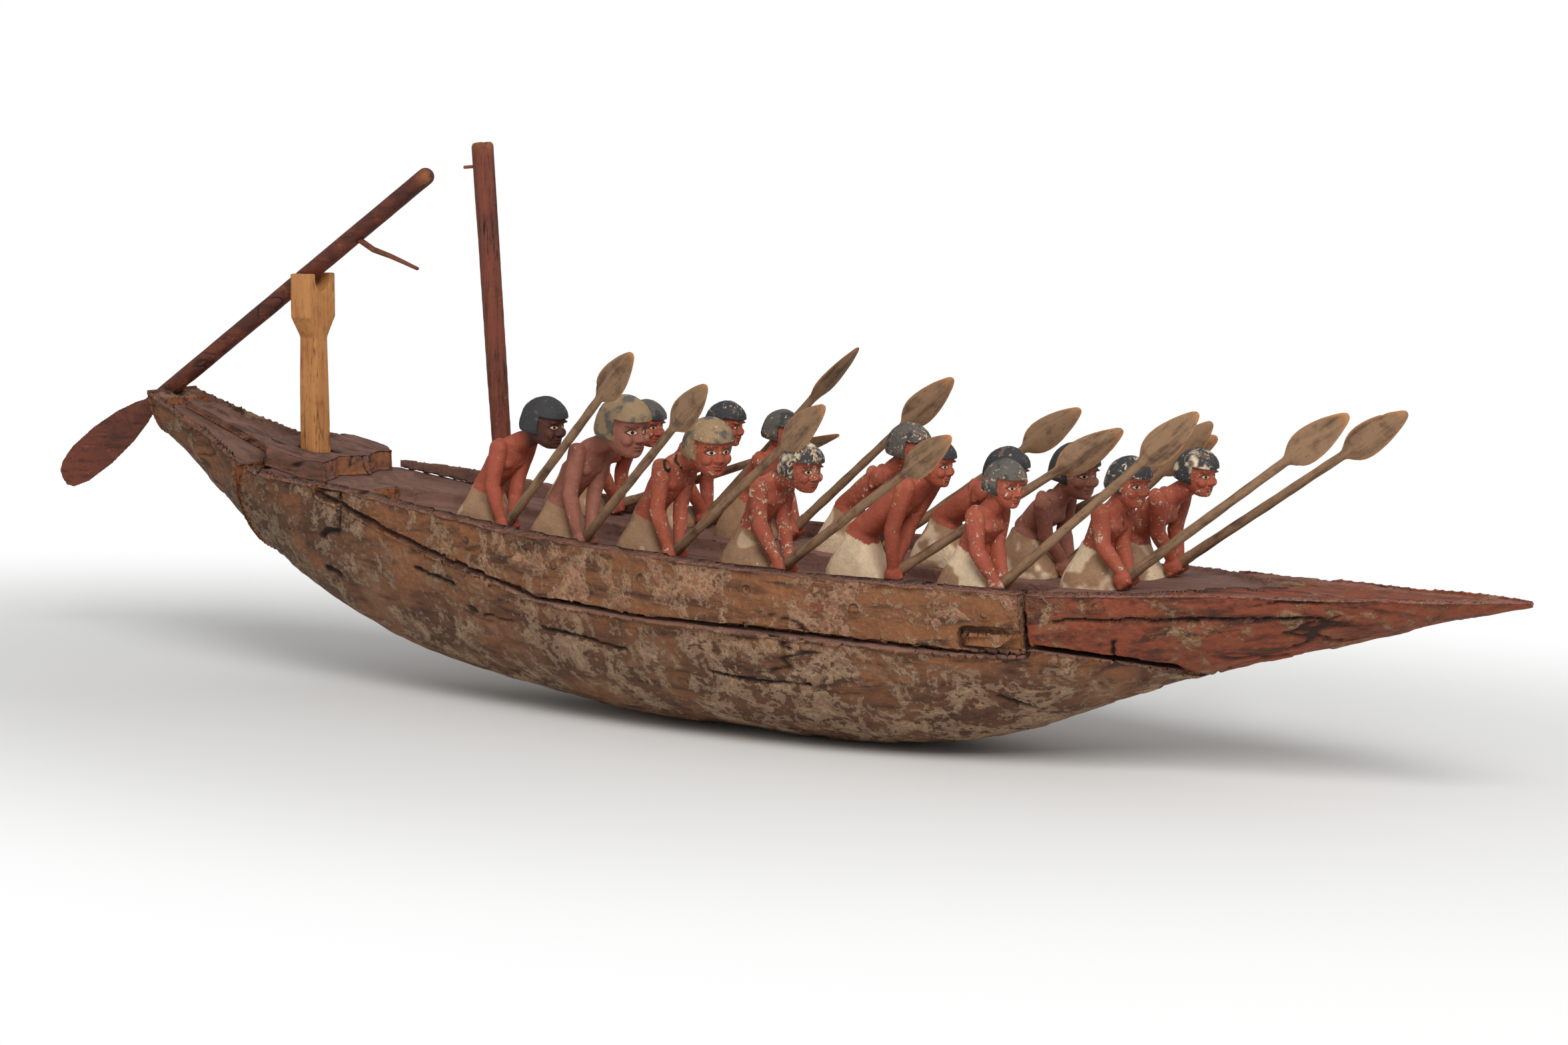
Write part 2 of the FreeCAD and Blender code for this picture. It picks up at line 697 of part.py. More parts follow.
def paddler_arm(side, row, paddle_row, s):
    """One arm, to port (s = 1) or to starboard (s = -1) of the body, with its hand and peg."""
    at = figure_places(side, row)
    axis, level, _ = paddle_axes(side, paddle_row)
    shoulder = at["shoulder"] + vec(0, s * (shoulder_plane + arm_outset), 0)
    fist = at["hand"] + level * (s * fist_spread)
    elbow = (shoulder + fist) * 0.5 + vec(-elbow_back, s * elbow_out, 0)
    wrist = fist + vec(0, 0, wrist_radius)
    arm = capsule_chain([shoulder, elbow, wrist], [arm_radius, elbow_radius, wrist_radius])
    arm = arm.fuse(ball(fist_radii, fist))
    # Above the notch's foot the arm stays outside the shoulder's flat
    notch_foot = shoulder.z - shoulder_notch[2]
    ys = sorted((at["shoulder"].y + s * shoulder_plane, at["shoulder"].y + s * far))
    outside = box_between((-far, ys[0], notch_foot), (far, ys[1], far))
    arm = arm.common(outside.fuse(box_between((-far, -far, -far), (far, far, notch_foot))))
    arm = arm.fuse(arm_peg(at["shoulder"], s, arm_peg_radius, 0.0))
    bore = Part.makeCylinder(shaft_radius + grip_clearance, paddle_row[2],
                             at["hand"] - axis * fist_gap_reach[0], axis)
    arm = arm.cut(bore).cut(fist_gap_zone(at["hand"], level))
    return max(arm.Solids, key=lambda solid: solid.Volume)


def fist_gap_zone(hand, level):
    """The thin space between the two fists, on both sides of the shaft."""
    reach, below, above = fist_gap_reach
    zone = box_between((-reach, -fist_gap / 2.0, -below), (reach, fist_gap / 2.0, above))
    zone.rotate(vec(0, 0, 0), vec(0, 0, 1), math.degrees(math.atan2(-level.x, level.y)))
    zone.translate(hand)
    return zone


def figure_peg(side, row, radius, spare=0.0):
    at = figure_places(side, row)
    length = figure_peg_length + 2 * spare
    start = at["seat"] + vec(0, 0, -length / 2.0)
    return Part.makeCylinder(radius, length, start, vec(0, 0, 1))


def deck_below():
    """Everything under the deck that the crew sits on."""
    well = above_line(well_aft_x, bow_joint_x, well_floor)
    bow = above_line(bow_joint_x, bow_deck_end_x, bow_deck)
    whole = box_between((well_aft_x, -far, -far), (bow_deck_end_x, far, far))
    return whole.cut(well).cut(bow)


def export(name, shape):
    """Write one piece, after a check that it is a sound solid or group of solids."""
    solids = shape.Solids
    if not solids or not shape.isValid():
        raise ValueError(name + " is not a sound solid")
    whole = solids[0] if len(solids) == 1 else Part.makeCompound(solids)
    whole.exportStep("parts/" + name + ".step")
    print("%-24s %2d solids %10.0f mm3" % (name, len(solids), whole.Volume))


def hull_parts(envelope, mast_socket):
    """The timbers of the hull, each cut from the same envelope."""
    parts = {}
    bow_zone_exact, bow_zone_cut = bow_zone(0.0), bow_zone(seam_gap)
    stern_side = box_between((-far, -far, -far), (stern_joint_x, far, far))
    log = envelope.cut(bow_zone_cut)
    log = log.cut(box_between((-far, -far, -far), (stern_joint_x + seam_gap, far, far)))
    for name, side, aft in (("starboard_strake", -1, starboard_strake_aft),
                            ("port_strake", 1, port_strake_aft)):
        parts[name] = envelope.common(strake_zone(aft, 0.0)).common(half(side))
        parts[name] = parts[name].cut(bow_zone_cut)
        log = log.cut(strake_zone(aft, seam_gap).common(half(side)))
    patch = envelope.common(patch_zone(0.0)).cut(bow_zone_cut)
    parts["patch_block"] = patch
    log = log.cut(patch_zone(seam_gap))
    parts["starboard_strake"] = parts["starboard_strake"].cut(patch_zone(seam_gap))

    well = inside_rim(well_aft_x, bow_joint_x + 1.0, strake_thickness)
    well = well.common(above_line(well_aft_x, bow_joint_x + 1.0, well_floor))
    channel = plan_prism(both_sides(channel_plan)).common(
        above_line(channel_plan[0][0], channel_plan[-1][0], lambda x: well_floor(x) - channel_depth))
    aft = inside_rim(aft_deck_end_x, well_aft_x + 1.0, aft_rim)
    aft = aft.common(above_line(aft_deck_end_x, well_aft_x + 1.0, aft_floor))
    rim_gap = above_line(port_rim_gap[0], port_rim_gap[1], aft_floor).common(half(1))
    x0, x1 = starboard_chip
    chip = side_prism([(x0, chip_foot_z), (x1, rim_height(x1)), (x1, far), (x0, far)],
                      -far, chip_depth - half_beam(x0))
    log = log.cut(well).cut(channel).cut(aft).cut(rim_gap).cut(chip).cut(mast_socket)
    above_rim = box_between((-far, -far, rim_height(slab_x[1])), (far, far, far))
    parts["afterdeck"] = slab_zone().common(envelope.fuse(above_rim)).cut(slab_mortise())
    log = log.cut(slab_mortise())

    stern = envelope.common(stern_side).cut(aft)
    parts["stern_block"] = stern.cut(oar_trough())
    parts["stern_plank"] = plank_zone().cut(oar_trough())

    bow = envelope.common(bow_zone_exact)
    recess = inside_rim(bow_joint_x - 1.0, bow_deck_end_x, bow_deck_rim, bow_deck_point)
    parts["bow_block"] = bow.cut(recess.common(above_line(bow_joint_x - 1.0, bow_deck_end_x, bow_deck)))
    parts["hull_log"] = log
    return parts


def bore_for_pegs(parts, envelope):
    """Fit the strake pegs and the dowels, and bore their holes."""
    pegs, holes = [], []
    for side in (-1, 1):
        for spot in strake_peg_spots:
            pegs.append(peg_cylinder(spot, side, strake_peg_radius).common(envelope))
            holes.append(peg_cylinder(spot, side, strake_peg_radius + peg_clearance))
    parts["strake_pegs"] = Part.makeCompound([solid for peg in pegs for solid in peg.Solids])
    stern = dowel_pair(stern_joint_x, stern_dowel_spread, stern_dowel_z, dowel_radius)
    bow = dowel_pair(bow_joint_x, bow_dowel_spread, bow_dowel_z, dowel_radius)
    parts["stern_dowels"] = stern
    parts["bow_dowels"] = bow
    hole_radius = dowel_radius + peg_clearance
    holes.append(dowel_pair(stern_joint_x, stern_dowel_spread, stern_dowel_z, hole_radius, peg_clearance))
    holes.append(dowel_pair(bow_joint_x, bow_dowel_spread, bow_dowel_z, hole_radius, peg_clearance))
    all_holes = Part.makeCompound(holes)
    for name in ("hull_log", "starboard_strake", "port_strake", "stern_block", "bow_block"):
        parts[name] = parts[name].cut(all_holes)


def crew_rows():
    """Name, side, place and paddle of each paddler."""
    for label, side, crew, paddles in (("starboard", -1, crew_starboard, paddles_starboard),
                                       ("port", 1, crew_port, paddles_port)):
        for i, (row, paddle_row) in enumerate(zip(crew, paddles)):
            yield "%s_%d" % (label, i + 1), side, row, paddle_row


def main():
    os.makedirs("parts", exist_ok=True)
    envelope = hull_envelope()
    mast, mast_pin, mast_socket = mast_parts()
    parts = hull_parts(envelope, mast_socket)
    bore_for_pegs(parts, envelope)
    parts["mast"] = mast
    parts["mast_pin"] = mast_pin
    parts["oar_post"] = oar_post()
    parts["steering_oar"], parts["tiller"] = oar_parts()

    deck_solid = deck_below()
    seat_pegs, seat_holes = [], []
    for name, side, row, paddle_row in crew_rows():
        body = paddler_body(side, row, deck_solid)
        body = body.cut(figure_peg(side, row, figure_peg_radius + peg_clearance, peg_clearance))
        seat_pegs.append(figure_peg(side, row, figure_peg_radius))
        seat_holes.append(figure_peg(side, row, figure_peg_radius + peg_clearance, peg_clearance))
        at = figure_places(side, row)
        arms = []
        for s in (-1, 1):
            body = body.cut(arm_peg(at["shoulder"], s, arm_peg_radius + peg_clearance, peg_clearance))
            inboard = s != side
            if not (inboard and name in broken_inboard_arm):
                arms.append(paddler_arm(side, row, paddle_row, s).cut(body))
        parts["paddler_" + name] = body
        parts["arms_" + name] = Part.makeCompound(arms)
        parts["paddle_" + name] = paddle(at["hand"], side, paddle_row)
    parts["figure_pegs"] = Part.makeCompound(seat_pegs)
    holes = Part.makeCompound(seat_holes)
    for name in ("hull_log", "bow_block"):
        parts[name] = parts[name].cut(holes)
    for name in sorted(parts):
        export(name, parts[name])


main()
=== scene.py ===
"""Looks of a carved and painted wooden river boat with its crew of fourteen paddlers.

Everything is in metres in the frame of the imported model: +X to the bow, +Y to port, +Z up.
"""

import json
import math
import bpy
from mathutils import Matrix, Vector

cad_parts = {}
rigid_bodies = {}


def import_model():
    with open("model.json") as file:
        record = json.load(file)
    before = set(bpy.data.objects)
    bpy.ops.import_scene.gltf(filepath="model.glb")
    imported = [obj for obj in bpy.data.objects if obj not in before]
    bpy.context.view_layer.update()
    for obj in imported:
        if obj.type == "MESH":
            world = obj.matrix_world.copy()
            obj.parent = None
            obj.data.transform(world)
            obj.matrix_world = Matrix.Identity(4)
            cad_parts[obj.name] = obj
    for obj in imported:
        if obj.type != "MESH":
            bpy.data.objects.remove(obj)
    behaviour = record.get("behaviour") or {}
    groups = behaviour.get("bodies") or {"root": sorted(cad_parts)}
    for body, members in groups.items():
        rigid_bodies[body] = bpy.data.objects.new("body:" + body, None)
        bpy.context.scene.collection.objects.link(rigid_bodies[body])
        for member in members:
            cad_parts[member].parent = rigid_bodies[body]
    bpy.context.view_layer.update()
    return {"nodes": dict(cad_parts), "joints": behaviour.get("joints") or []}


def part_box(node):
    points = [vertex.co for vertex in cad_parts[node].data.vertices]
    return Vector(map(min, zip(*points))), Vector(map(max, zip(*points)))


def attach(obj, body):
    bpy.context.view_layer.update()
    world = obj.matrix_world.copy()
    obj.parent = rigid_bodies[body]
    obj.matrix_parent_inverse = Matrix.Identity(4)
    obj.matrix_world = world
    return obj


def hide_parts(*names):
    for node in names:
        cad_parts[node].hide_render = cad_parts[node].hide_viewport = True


bl_info = {
    "name": "Egyptian tomb model boat",
    "version": (1, 0, 0),
    "blender": (4, 5, 0),
    "location": "3D View > Sidebar > Tomb boat",
    "description": "Weathers the timbers and carves and paints the crew of a wooden model boat",
    "category": "Object",
}

import bmesh
import bpy
import numpy as np
from bpy.props import FloatProperty, FloatVectorProperty, PointerProperty
from mathutils import Matrix, Vector
from mathutils.bvhtree import BVHTree

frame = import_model()

MM = 0.001
UP = Vector((0.0, 0.0, 1.0))
CREW = ["%s_%d" % (row, n) for row in ("starboard", "port") for n in range(1, 8)]
TIMBERS = ("hull_log", "starboard_strake", "port_strake", "bow_block", "stern_block")


def srgb(red, green, blue):
    """A colour as it is seen, 0 to 255, in the linear values that materials take."""
    def linear(level):
        level /= 255.0
        return level / 12.92 if level <= 0.04045 else ((level + 0.055) / 1.055) ** 2.4
    return (linear(red), linear(green), linear(blue))


def colour_of(name, description, default):
    return FloatVectorProperty(name=name, description=description, default=srgb(*default),
                               size=3, min=0.0, max=1.0, subtype="COLOR")


def size_of(name, description, default):
    return FloatProperty(name=name, description=description, default=default, min=0.0, unit="LENGTH")


class TimberLooks(bpy.types.PropertyGroup):
    """Relief and colours of the hull's timbers and the deck."""
    mesh_size: size_of("Mesh size", "Width of the faces on the big timbers", 0.0019)
    fine_mesh_size: size_of("Fine mesh size", "Width of the faces on the small timbers", 0.0011)
    lump_depth: size_of("Lump depth", "How far the worn surface wanders in and out", 0.0015)
    flake_depth: size_of("Flake depth", "Thickness of the plaster crust that is left", 0.0010)
    seam_wear: size_of("Seam wear", "How wide the open seam under the strakes has worn", 0.0016)
    crack_depth: size_of("Crack depth", "How deep the splits in the timber go", 0.004)
    ochre: colour_of("Ochre", "Bare upper timbers", (142, 92, 58))
    umber: colour_of("Umber", "Darker streaks in the bare timber", (68, 44, 32))
    cream: colour_of("Plaster", "What is left of the pale plaster coat", (210, 180, 144))
    crust: colour_of("Crust", "Grey crust on the lower hull", (136, 108, 86))
    stain: colour_of("Stain", "Red-brown paint stains", (128, 60, 42))
    bow_red: colour_of("Bow red", "Red paint on the bow", (138, 70, 46))
    bow_dark: colour_of("Bow dark", "Worn and sooty paint on the bow", (76, 42, 30))
    bare_orange: colour_of("Bare wood", "Freshly broken wood and end grain", (158, 98, 60))
    deck: colour_of("Deck", "Dusty plum colour of the deck", (118, 86, 74))
    # Painted shadow of the hold, laid in along the grain streaks of the deck
    deck_painted_shadow: colour_of("Deck shadow", "Dark wood in the hold", (66, 44, 38))
    rim: colour_of("Rim", "Dusty pink along the top of the sides", (142, 98, 84))
    gap: colour_of("Gap", "Inside of cracks", (24, 16, 12))


class SparLooks(bpy.types.PropertyGroup):
    """Relief and colours of the mast, the steering gear and the paddles."""
    mesh_size: size_of("Mesh size", "Width of the faces on the spars", 0.0009)
    wear_depth: size_of("Wear depth", "How uneven the carved spars are", 0.0005)
    red: colour_of("Spar red", "Red-brown paint on the mast and the oar", (118, 60, 42))
    dark: colour_of("Spar dark", "Dark grain in the red spars", (64, 34, 26))
    tan: colour_of("Post tan", "Bare wood of the post", (188, 130, 76))
    orange: colour_of("Post orange", "Worn edges and cracks of the post", (150, 86, 44))
    paddle: colour_of("Paddle", "Bare grey-brown wood of the paddles", (144, 112, 84))
    paddle_dark: colour_of("Paddle dark", "Dirt on the paddles", (88, 64, 48))
    paddle_edge: colour_of("Paddle edge", "Orange wood at the worn edges", (178, 122, 78))


class CrewLooks(bpy.types.PropertyGroup):
    """Sizes and colours of the carved paddlers."""
    body_mesh: size_of("Body mesh size", "Width of the faces on bodies and arms", 0.0010)
    head_mesh: size_of("Head mesh size", "Width of the faces on the heads", 0.0005)
    wear_depth: size_of("Wear depth", "How uneven the carved figures are", 0.0006)
    skin: colour_of("Skin", "Red-ochre skin paint", (162, 80, 58))
    skin_pale: colour_of("Pale skin", "Faded skin paint", (148, 92, 76))
    # Dark paint of the lips, and the painted shade on the front of starboard_1
    skin_dark_and_shade: colour_of("Dark skin", "Sooty skin paint", (62, 38, 32))
    wig: colour_of("Wig", "Blue-black hair paint", (56, 56, 58))
    wig_grey: colour_of("Grey wig", "Worn hair paint", (92, 86, 80))
    wig_tan: colour_of("Tan wig", "Hair paint worn down to the wood", (150, 124, 92))
    kilt: colour_of("Kilt", "Wood of the kilts", (160, 124, 94))
    kilt_cream: colour_of("Cream kilt", "Plaster left on the kilts", (224, 198, 164))
    plaster: colour_of("Plaster chips", "White plaster where paint has chipped off", (228, 206, 176))
    bare: colour_of("Bare wood", "Broken wood", (176, 128, 80))


class StageLooks(bpy.types.PropertyGroup):
    """Camera and light."""
    camera_place: FloatVectorProperty(name="Camera", description="Where the camera stands", size=3,
                                      default=(1.30090, -1.97908, 0.43708), subtype="TRANSLATION")
    camera_aim: FloatVectorProperty(name="Aim", description="What the camera looks at", size=3,
                                    default=(0.01567, 0.0, 0.14734), subtype="TRANSLATION")
    focal_length: FloatProperty(name="Focal length", description="In millimetres on a 36 mm sensor",
                                default=76.5, min=1.0)
    key_power: FloatProperty(name="Key light", description="Power of the main lamp",
                             default=58.0, unit="POWER")
    fill_power: FloatProperty(name="Fill light", description="Power of the soft lamps",
                              default=6.0, unit="POWER")
    sky: FloatProperty(name="Sky", description="Level of the light from all round", default=0.42)
    floor: colour_of("Floor", "Pale floor", (236, 236, 234))


def looks(name):
    return getattr(bpy.context.scene, name)


# Meshes

def mm(*values):
    return Vector(values) * MM


def deselect_all():
    if bpy.context.object and bpy.context.object.mode != "OBJECT":
        bpy.ops.object.mode_set(mode="OBJECT")
    bpy.ops.object.select_all(action="DESELECT")


def make_active(*objects):
    """Select these objects, the first of them active, and nothing else."""
    deselect_all()
    for obj in objects:
        obj.select_set(True)
    bpy.context.view_layer.objects.active = objects[0]


def apply_modifier(obj, kind, **settings):
    make_active(obj)
    modifier = obj.modifiers.new(kind.title(), kind)
    for key, value in settings.items():
        setattr(modifier, key, value)
    bpy.ops.object.modifier_apply(modifier=modifier.name)


def remesh(obj, size):
    """Make the piece one skin of even faces."""
    apply_modifier(obj, "REMESH", mode="VOXEL", voxel_size=size, use_smooth_shade=True)


def shade_smooth(degrees):
    """Smooth the shading of the active piece wherever its faces meet at less than so many degrees."""
    bpy.ops.object.shade_smooth_by_angle(angle=math.radians(degrees))


def relax(obj, factor, times):
    apply_modifier(obj, "SMOOTH", factor=factor, iterations=times)


def thin_out(obj, most_triangles):
    """Merge faces where the surface is calm until the piece has no more than so many triangles."""
    triangles = sum(len(face.vertices) - 2 for face in obj.data.polygons)
    if triangles > most_triangles:
        apply_modifier(obj, "DECIMATE", ratio=most_triangles / triangles)


def carve(obj, tool, operation):
    """Cut the tool out of the piece, or join it on, and remove the tool."""
    apply_modifier(obj, "BOOLEAN", object=tool, operation=operation, solver="MANIFOLD")
    bpy.data.objects.remove(tool)


def join(objects, name):
    make_active(*objects)
    if len(objects) > 1:
        bpy.ops.object.join()
    objects[0].name = name
    return objects[0]


def copy_of_node(node, name):
    """A copy of a frame node's mesh, with its loose triangles merged."""
    obj = bpy.data.objects.new(name, frame["nodes"][node].data.copy())
    bpy.context.scene.collection.objects.link(obj)
    obj.data.materials.clear()
    make_active(obj)
    bpy.ops.object.mode_set(mode="EDIT")
    bpy.ops.mesh.select_all(action="SELECT")
    bpy.ops.mesh.remove_doubles(threshold=0.02 * MM)
    bpy.ops.object.mode_set(mode="OBJECT")
    return obj


def copy_of(obj, name):
    """A copy of a piece, with a mesh of its own."""
    twin = bpy.data.objects.new(name, obj.data.copy())
    bpy.context.scene.collection.objects.link(twin)
    return twin


def oval(centre, side, front, power=2.0, points=20):
    """A ring of points round a centre. It is an oval, and squarer as power grows."""
    ring = []
    for i in range(points):
        turn = 2.0 * math.pi * i / points
        c, s = math.cos(turn), math.sin(turn)
        reach = (abs(c) ** power + abs(s) ** power) ** (-1.0 / power)
        ring.append(centre + front * (reach * c) + side * (reach * s))
    return ring


def band(height, front, back, half, power, points, foot=Vector()):
    """A level ring, in millimetres above a foot: how far it reaches to the front, back and sides."""
    return oval(foot + mm((front + back) / 2.0, 0.0, height), mm(0.0, half, 0.0),
                mm((front - back) / 2.0, 0.0, 0.0), power, points)


def loft(name, rings):
    """A closed skin through rings of points: a disc is drawn and then extruded from ring to ring."""
    deselect_all()
    bpy.ops.mesh.primitive_circle_add(vertices=len(rings[0]), fill_type="NGON")
    obj = bpy.context.object
    obj.name = name
    bpy.ops.object.mode_set(mode="EDIT")
    bpy.ops.mesh.select_mode(type="FACE")
    shape = bmesh.from_edit_mesh(obj.data)
    order = [v.index for v in shape.faces[:][0].verts]
    for vertex, place in zip(shape.faces[:][0].verts, rings[0]):
        vertex.co = place
    for before, ring in zip(rings, rings[1:]):
        bmesh.update_edit_mesh(obj.data)
        bpy.ops.mesh.extrude_region_move()
        shape = bmesh.from_edit_mesh(obj.data)
        cap = next(face for face in shape.faces if face.select)
        corners = list(cap.verts)
        first = min(range(len(corners)), key=lambda k: (corners[k].co - before[0]).length_squared)
        step = 1 if (corners[(first + 1) % len(corners)].co - before[1]).length_squared < 1e-12 else -1
        for k, place in enumerate(ring):
            corners[(first + step * k) % len(corners)].co = place
    bmesh.update_edit_mesh(obj.data)
    bpy.ops.mesh.select_all(action="SELECT")
    bpy.ops.mesh.normals_make_consistent(inside=False)
    bpy.ops.object.mode_set(mode="OBJECT")
    return obj


def ball(name, centre, radii, turn=None, segments=24):
    """An egg shape with its own radius along each axis, and its place in its mesh."""
    deselect_all()
    bpy.ops.mesh.primitive_uv_sphere_add(segments=segments, ring_count=segments // 2, radius=1.0)
    obj = bpy.context.object
    obj.name = name
    place = Matrix.Translation(centre) @ (turn or Matrix.Identity(4)) @ Matrix.Diagonal((*radii, 1.0))
    obj.data.transform(place)
    return obj


def block(name, low, high):
    deselect_all()
    bpy.ops.mesh.primitive_cube_add(size=1.0)
    obj = bpy.context.object
    obj.name = name
    low, high = Vector(low), Vector(high)
    obj.data.transform(Matrix.Translation((low + high) / 2.0) @ Matrix.Diagonal((*(high - low), 1.0)))
    return obj


def rod(name, start, end, radius, end_radius=None, points=16):
    """A straight round bar from one point to another."""
    axis = (end - start).normalized()
    side = axis.orthogonal().normalized()
    front = axis.cross(side)
    rings = [oval(place, side * r, front * r, points=points)
             for place, r in ((start, radius), (end, end_radius or radius))]
    return loft(name, rings)


# Points of a mesh as arrays

def points_of(mesh):
    flat = np.empty(len(mesh.vertices) * 3, np.float32)
    mesh.vertices.foreach_get("co", flat)
    return flat.reshape(-1, 3).astype(float)


def normals_of(mesh):
    flat = np.empty(len(mesh.vertices) * 3, np.float32)
    mesh.vertices.foreach_get("normal", flat)
    return flat.reshape(-1, 3).astype(float)


def move_points(mesh, points):
    mesh.vertices.foreach_set("co", points.astype(np.float32).ravel())
    mesh.update()


def set_mark(obj, name, values):
    """Keep one number for each point of the piece, for its material to read."""
    mark = obj.data.attributes.new(name, "FLOAT", "POINT")
    mark.data.foreach_set("value", np.asarray(values, np.float32))


def set_place_mark(obj, name, places):
    """Keep three numbers for each point. A colour is kept as a place too."""
    mark = obj.data.attributes.new(name, "FLOAT_VECTOR", "POINT")
    mark.data.foreach_set("vector", np.asarray(places, np.float32).ravel())


def smoothstep(low, high, values):
    t = np.clip((values - low) / (high - low), 0.0, 1.0)
    return t * t * (3.0 - 2.0 * t)


def lattice(ix, iy, iz, seed):
    """A fixed random number between -1 and 1 for each corner of a grid."""
    mixed = (ix * 374761393 + iy * 668265263 + iz * 1442695041 + seed * 144665) & 0xFFFFFFFF
    mixed = ((mixed ^ (mixed >> 13)) * 1274126177) & 0xFFFFFFFF
    return ((mixed ^ (mixed >> 16)) & 0xFFFF) / 32767.5 - 1.0


def noise(points, size, seed, octaves=1):
    """Smooth random numbers, about -1 to 1, that wander over the given size in metres.
    size is one number, or one for each axis where the pattern is drawn out."""
    total = np.zeros(len(points))
    weight, summed = 1.0, 0.0
    for octave in range(octaves):
        place = points / np.asarray(size) * 2.0 ** octave + 17.3 * octave
        cell = np.floor(place)
        part = place - cell
        ease = part * part * (3.0 - 2.0 * part)
        ix, iy, iz = cell.astype(np.int64).T
        value = np.zeros(len(points))
        for dx in (0, 1):
            for dy in (0, 1):
                for dz in (0, 1):
                    share = (np.abs(1 - dx - ease[:, 0]) * np.abs(1 - dy - ease[:, 1])
                             * np.abs(1 - dz - ease[:, 2]))
                    value += share * lattice(ix + dx, iy + dy, iz + dz, seed + octave)
        total += weight * value
        summed += weight
        weight *= 0.5
    return total / summed


# Shaders

class Socket:
    """A value in a shader. Arithmetic on it adds the Math nodes that work it out."""

    def __init__(self, finish, output):
        self.finish, self.output = finish, output

    def maths(self, operation, *values):
        return self.finish.node("ShaderNodeMath", {"operation": operation}, dict(enumerate((self, *values))))

    def __add__(self, other):
        return self.maths("ADD", other)

    def __sub__(self, other):
        return self.maths("SUBTRACT", other)

    def __rsub__(self, other):
        return self * -1.0 + other

    def __mul__(self, other):
        return self.maths("MULTIPLY", other)

    def __truediv__(self, other):
        return self.maths("DIVIDE", other)

    def __pow__(self, other):
        return self.maths("POWER", other)

    def __abs__(self):
        return self.maths("ABSOLUTE")

    __radd__ = __add__
    __rmul__ = __mul__


class Finish:
    """A material under construction."""

    def __init__(self, name):
        self.material = bpy.data.materials.new(name)
        self.material.use_nodes = True
        self.tree = self.material.node_tree
        self.tree.nodes.clear()

    def node(self, kind, settings=None, values=None, output=0):
        """Add a node: its settings first, then the values or links of its sockets."""
        node = self.tree.nodes.new(kind)
        for key, value in (settings or {}).items():
            setattr(node, key, value)
        for key, value in (values or {}).items():
            self.put(node.inputs[key], value)
        return Socket(self, node.outputs[output]) if node.outputs else None

    def put(self, socket, value):
        if isinstance(value, Socket):
            self.tree.links.new(value.output, socket)
        elif hasattr(value, "__len__") and len(value) == 3 and socket.type == "RGBA":
            socket.default_value = (*value, 1.0)
        else:
            socket.default_value = value

    def place(self, stretch=(1.0, 1.0, 1.0), turn=(0.0, 0.0, 0.0)):
        """Object coordinates, drawn out along each axis as asked."""
        where = self.node("ShaderNodeTexCoord", output="Object")
        return self.node("ShaderNodeMapping", values={"Vector": where, "Scale": stretch, "Rotation": turn})

    def axis(self, number, where=None):
        """One coordinate of a place: 0, 1 or 2 for x, y or z."""
        return self.node("ShaderNodeSeparateXYZ", values={0: where or self.place()}, output=number)

    def mark(self, name, output="Fac"):
        return self.node("ShaderNodeAttribute", {"attribute_name": name}, output=output)

    def grain(self, size, detail=4.0, roughness=0.55, where=None, warp=0.0):
        """Noise from 0 to 1 whose blots are about the given size in metres."""
        return self.node("ShaderNodeTexNoise", values={
            "Vector": where or self.place(), "Scale": 1.0 / size, "Detail": detail,
            "Roughness": roughness, "Distortion": warp})

    def step(self, low, high, value):
        """0 below low, 1 above high, and smooth between."""
        return self.node("ShaderNodeMapRange", {"interpolation_type": "SMOOTHSTEP"},
                         {0: value, 1: low, 2: high, 3: 0.0, 4: 1.0})

    def mix(self, base, other, share, blend="MIX"):
        return self.node("ShaderNodeMix", {"data_type": "RGBA", "blend_type": blend},
                         {0: share, 6: base, 7: other}, output=2)

    def shade(self, colour, level):
        """Make a colour lighter or darker by a number that varies."""
        grey = self.node("ShaderNodeCombineColor", values={0: level, 1: level, 2: level})
        return self.mix(colour, grey, 1.0, "MULTIPLY")

    def surface(self, colour, roughness, height, depth, specular=0.35):
        """Close the material: colour, roughness, and a bump of the given depth in metres."""
        bump = self.node("ShaderNodeBump", values={"Height": height, "Strength": 1.0, "Distance": depth})
        shader = self.node("ShaderNodeBsdfPrincipled", values={
            "Base Color": colour, "Roughness": roughness, "Normal": bump, "Specular IOR Level": specular})
        self.node("ShaderNodeOutputMaterial", values={"Surface": shader})
        return self.material


def dress(obj, material, body, slot, *nodes):
    """Give a piece its material, its body and the nodes that it stands for. The slot is not used."""
    obj.data.materials.clear()
    obj.data.materials.append(material)
    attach(obj, body)
    if nodes:
        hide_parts(*nodes)


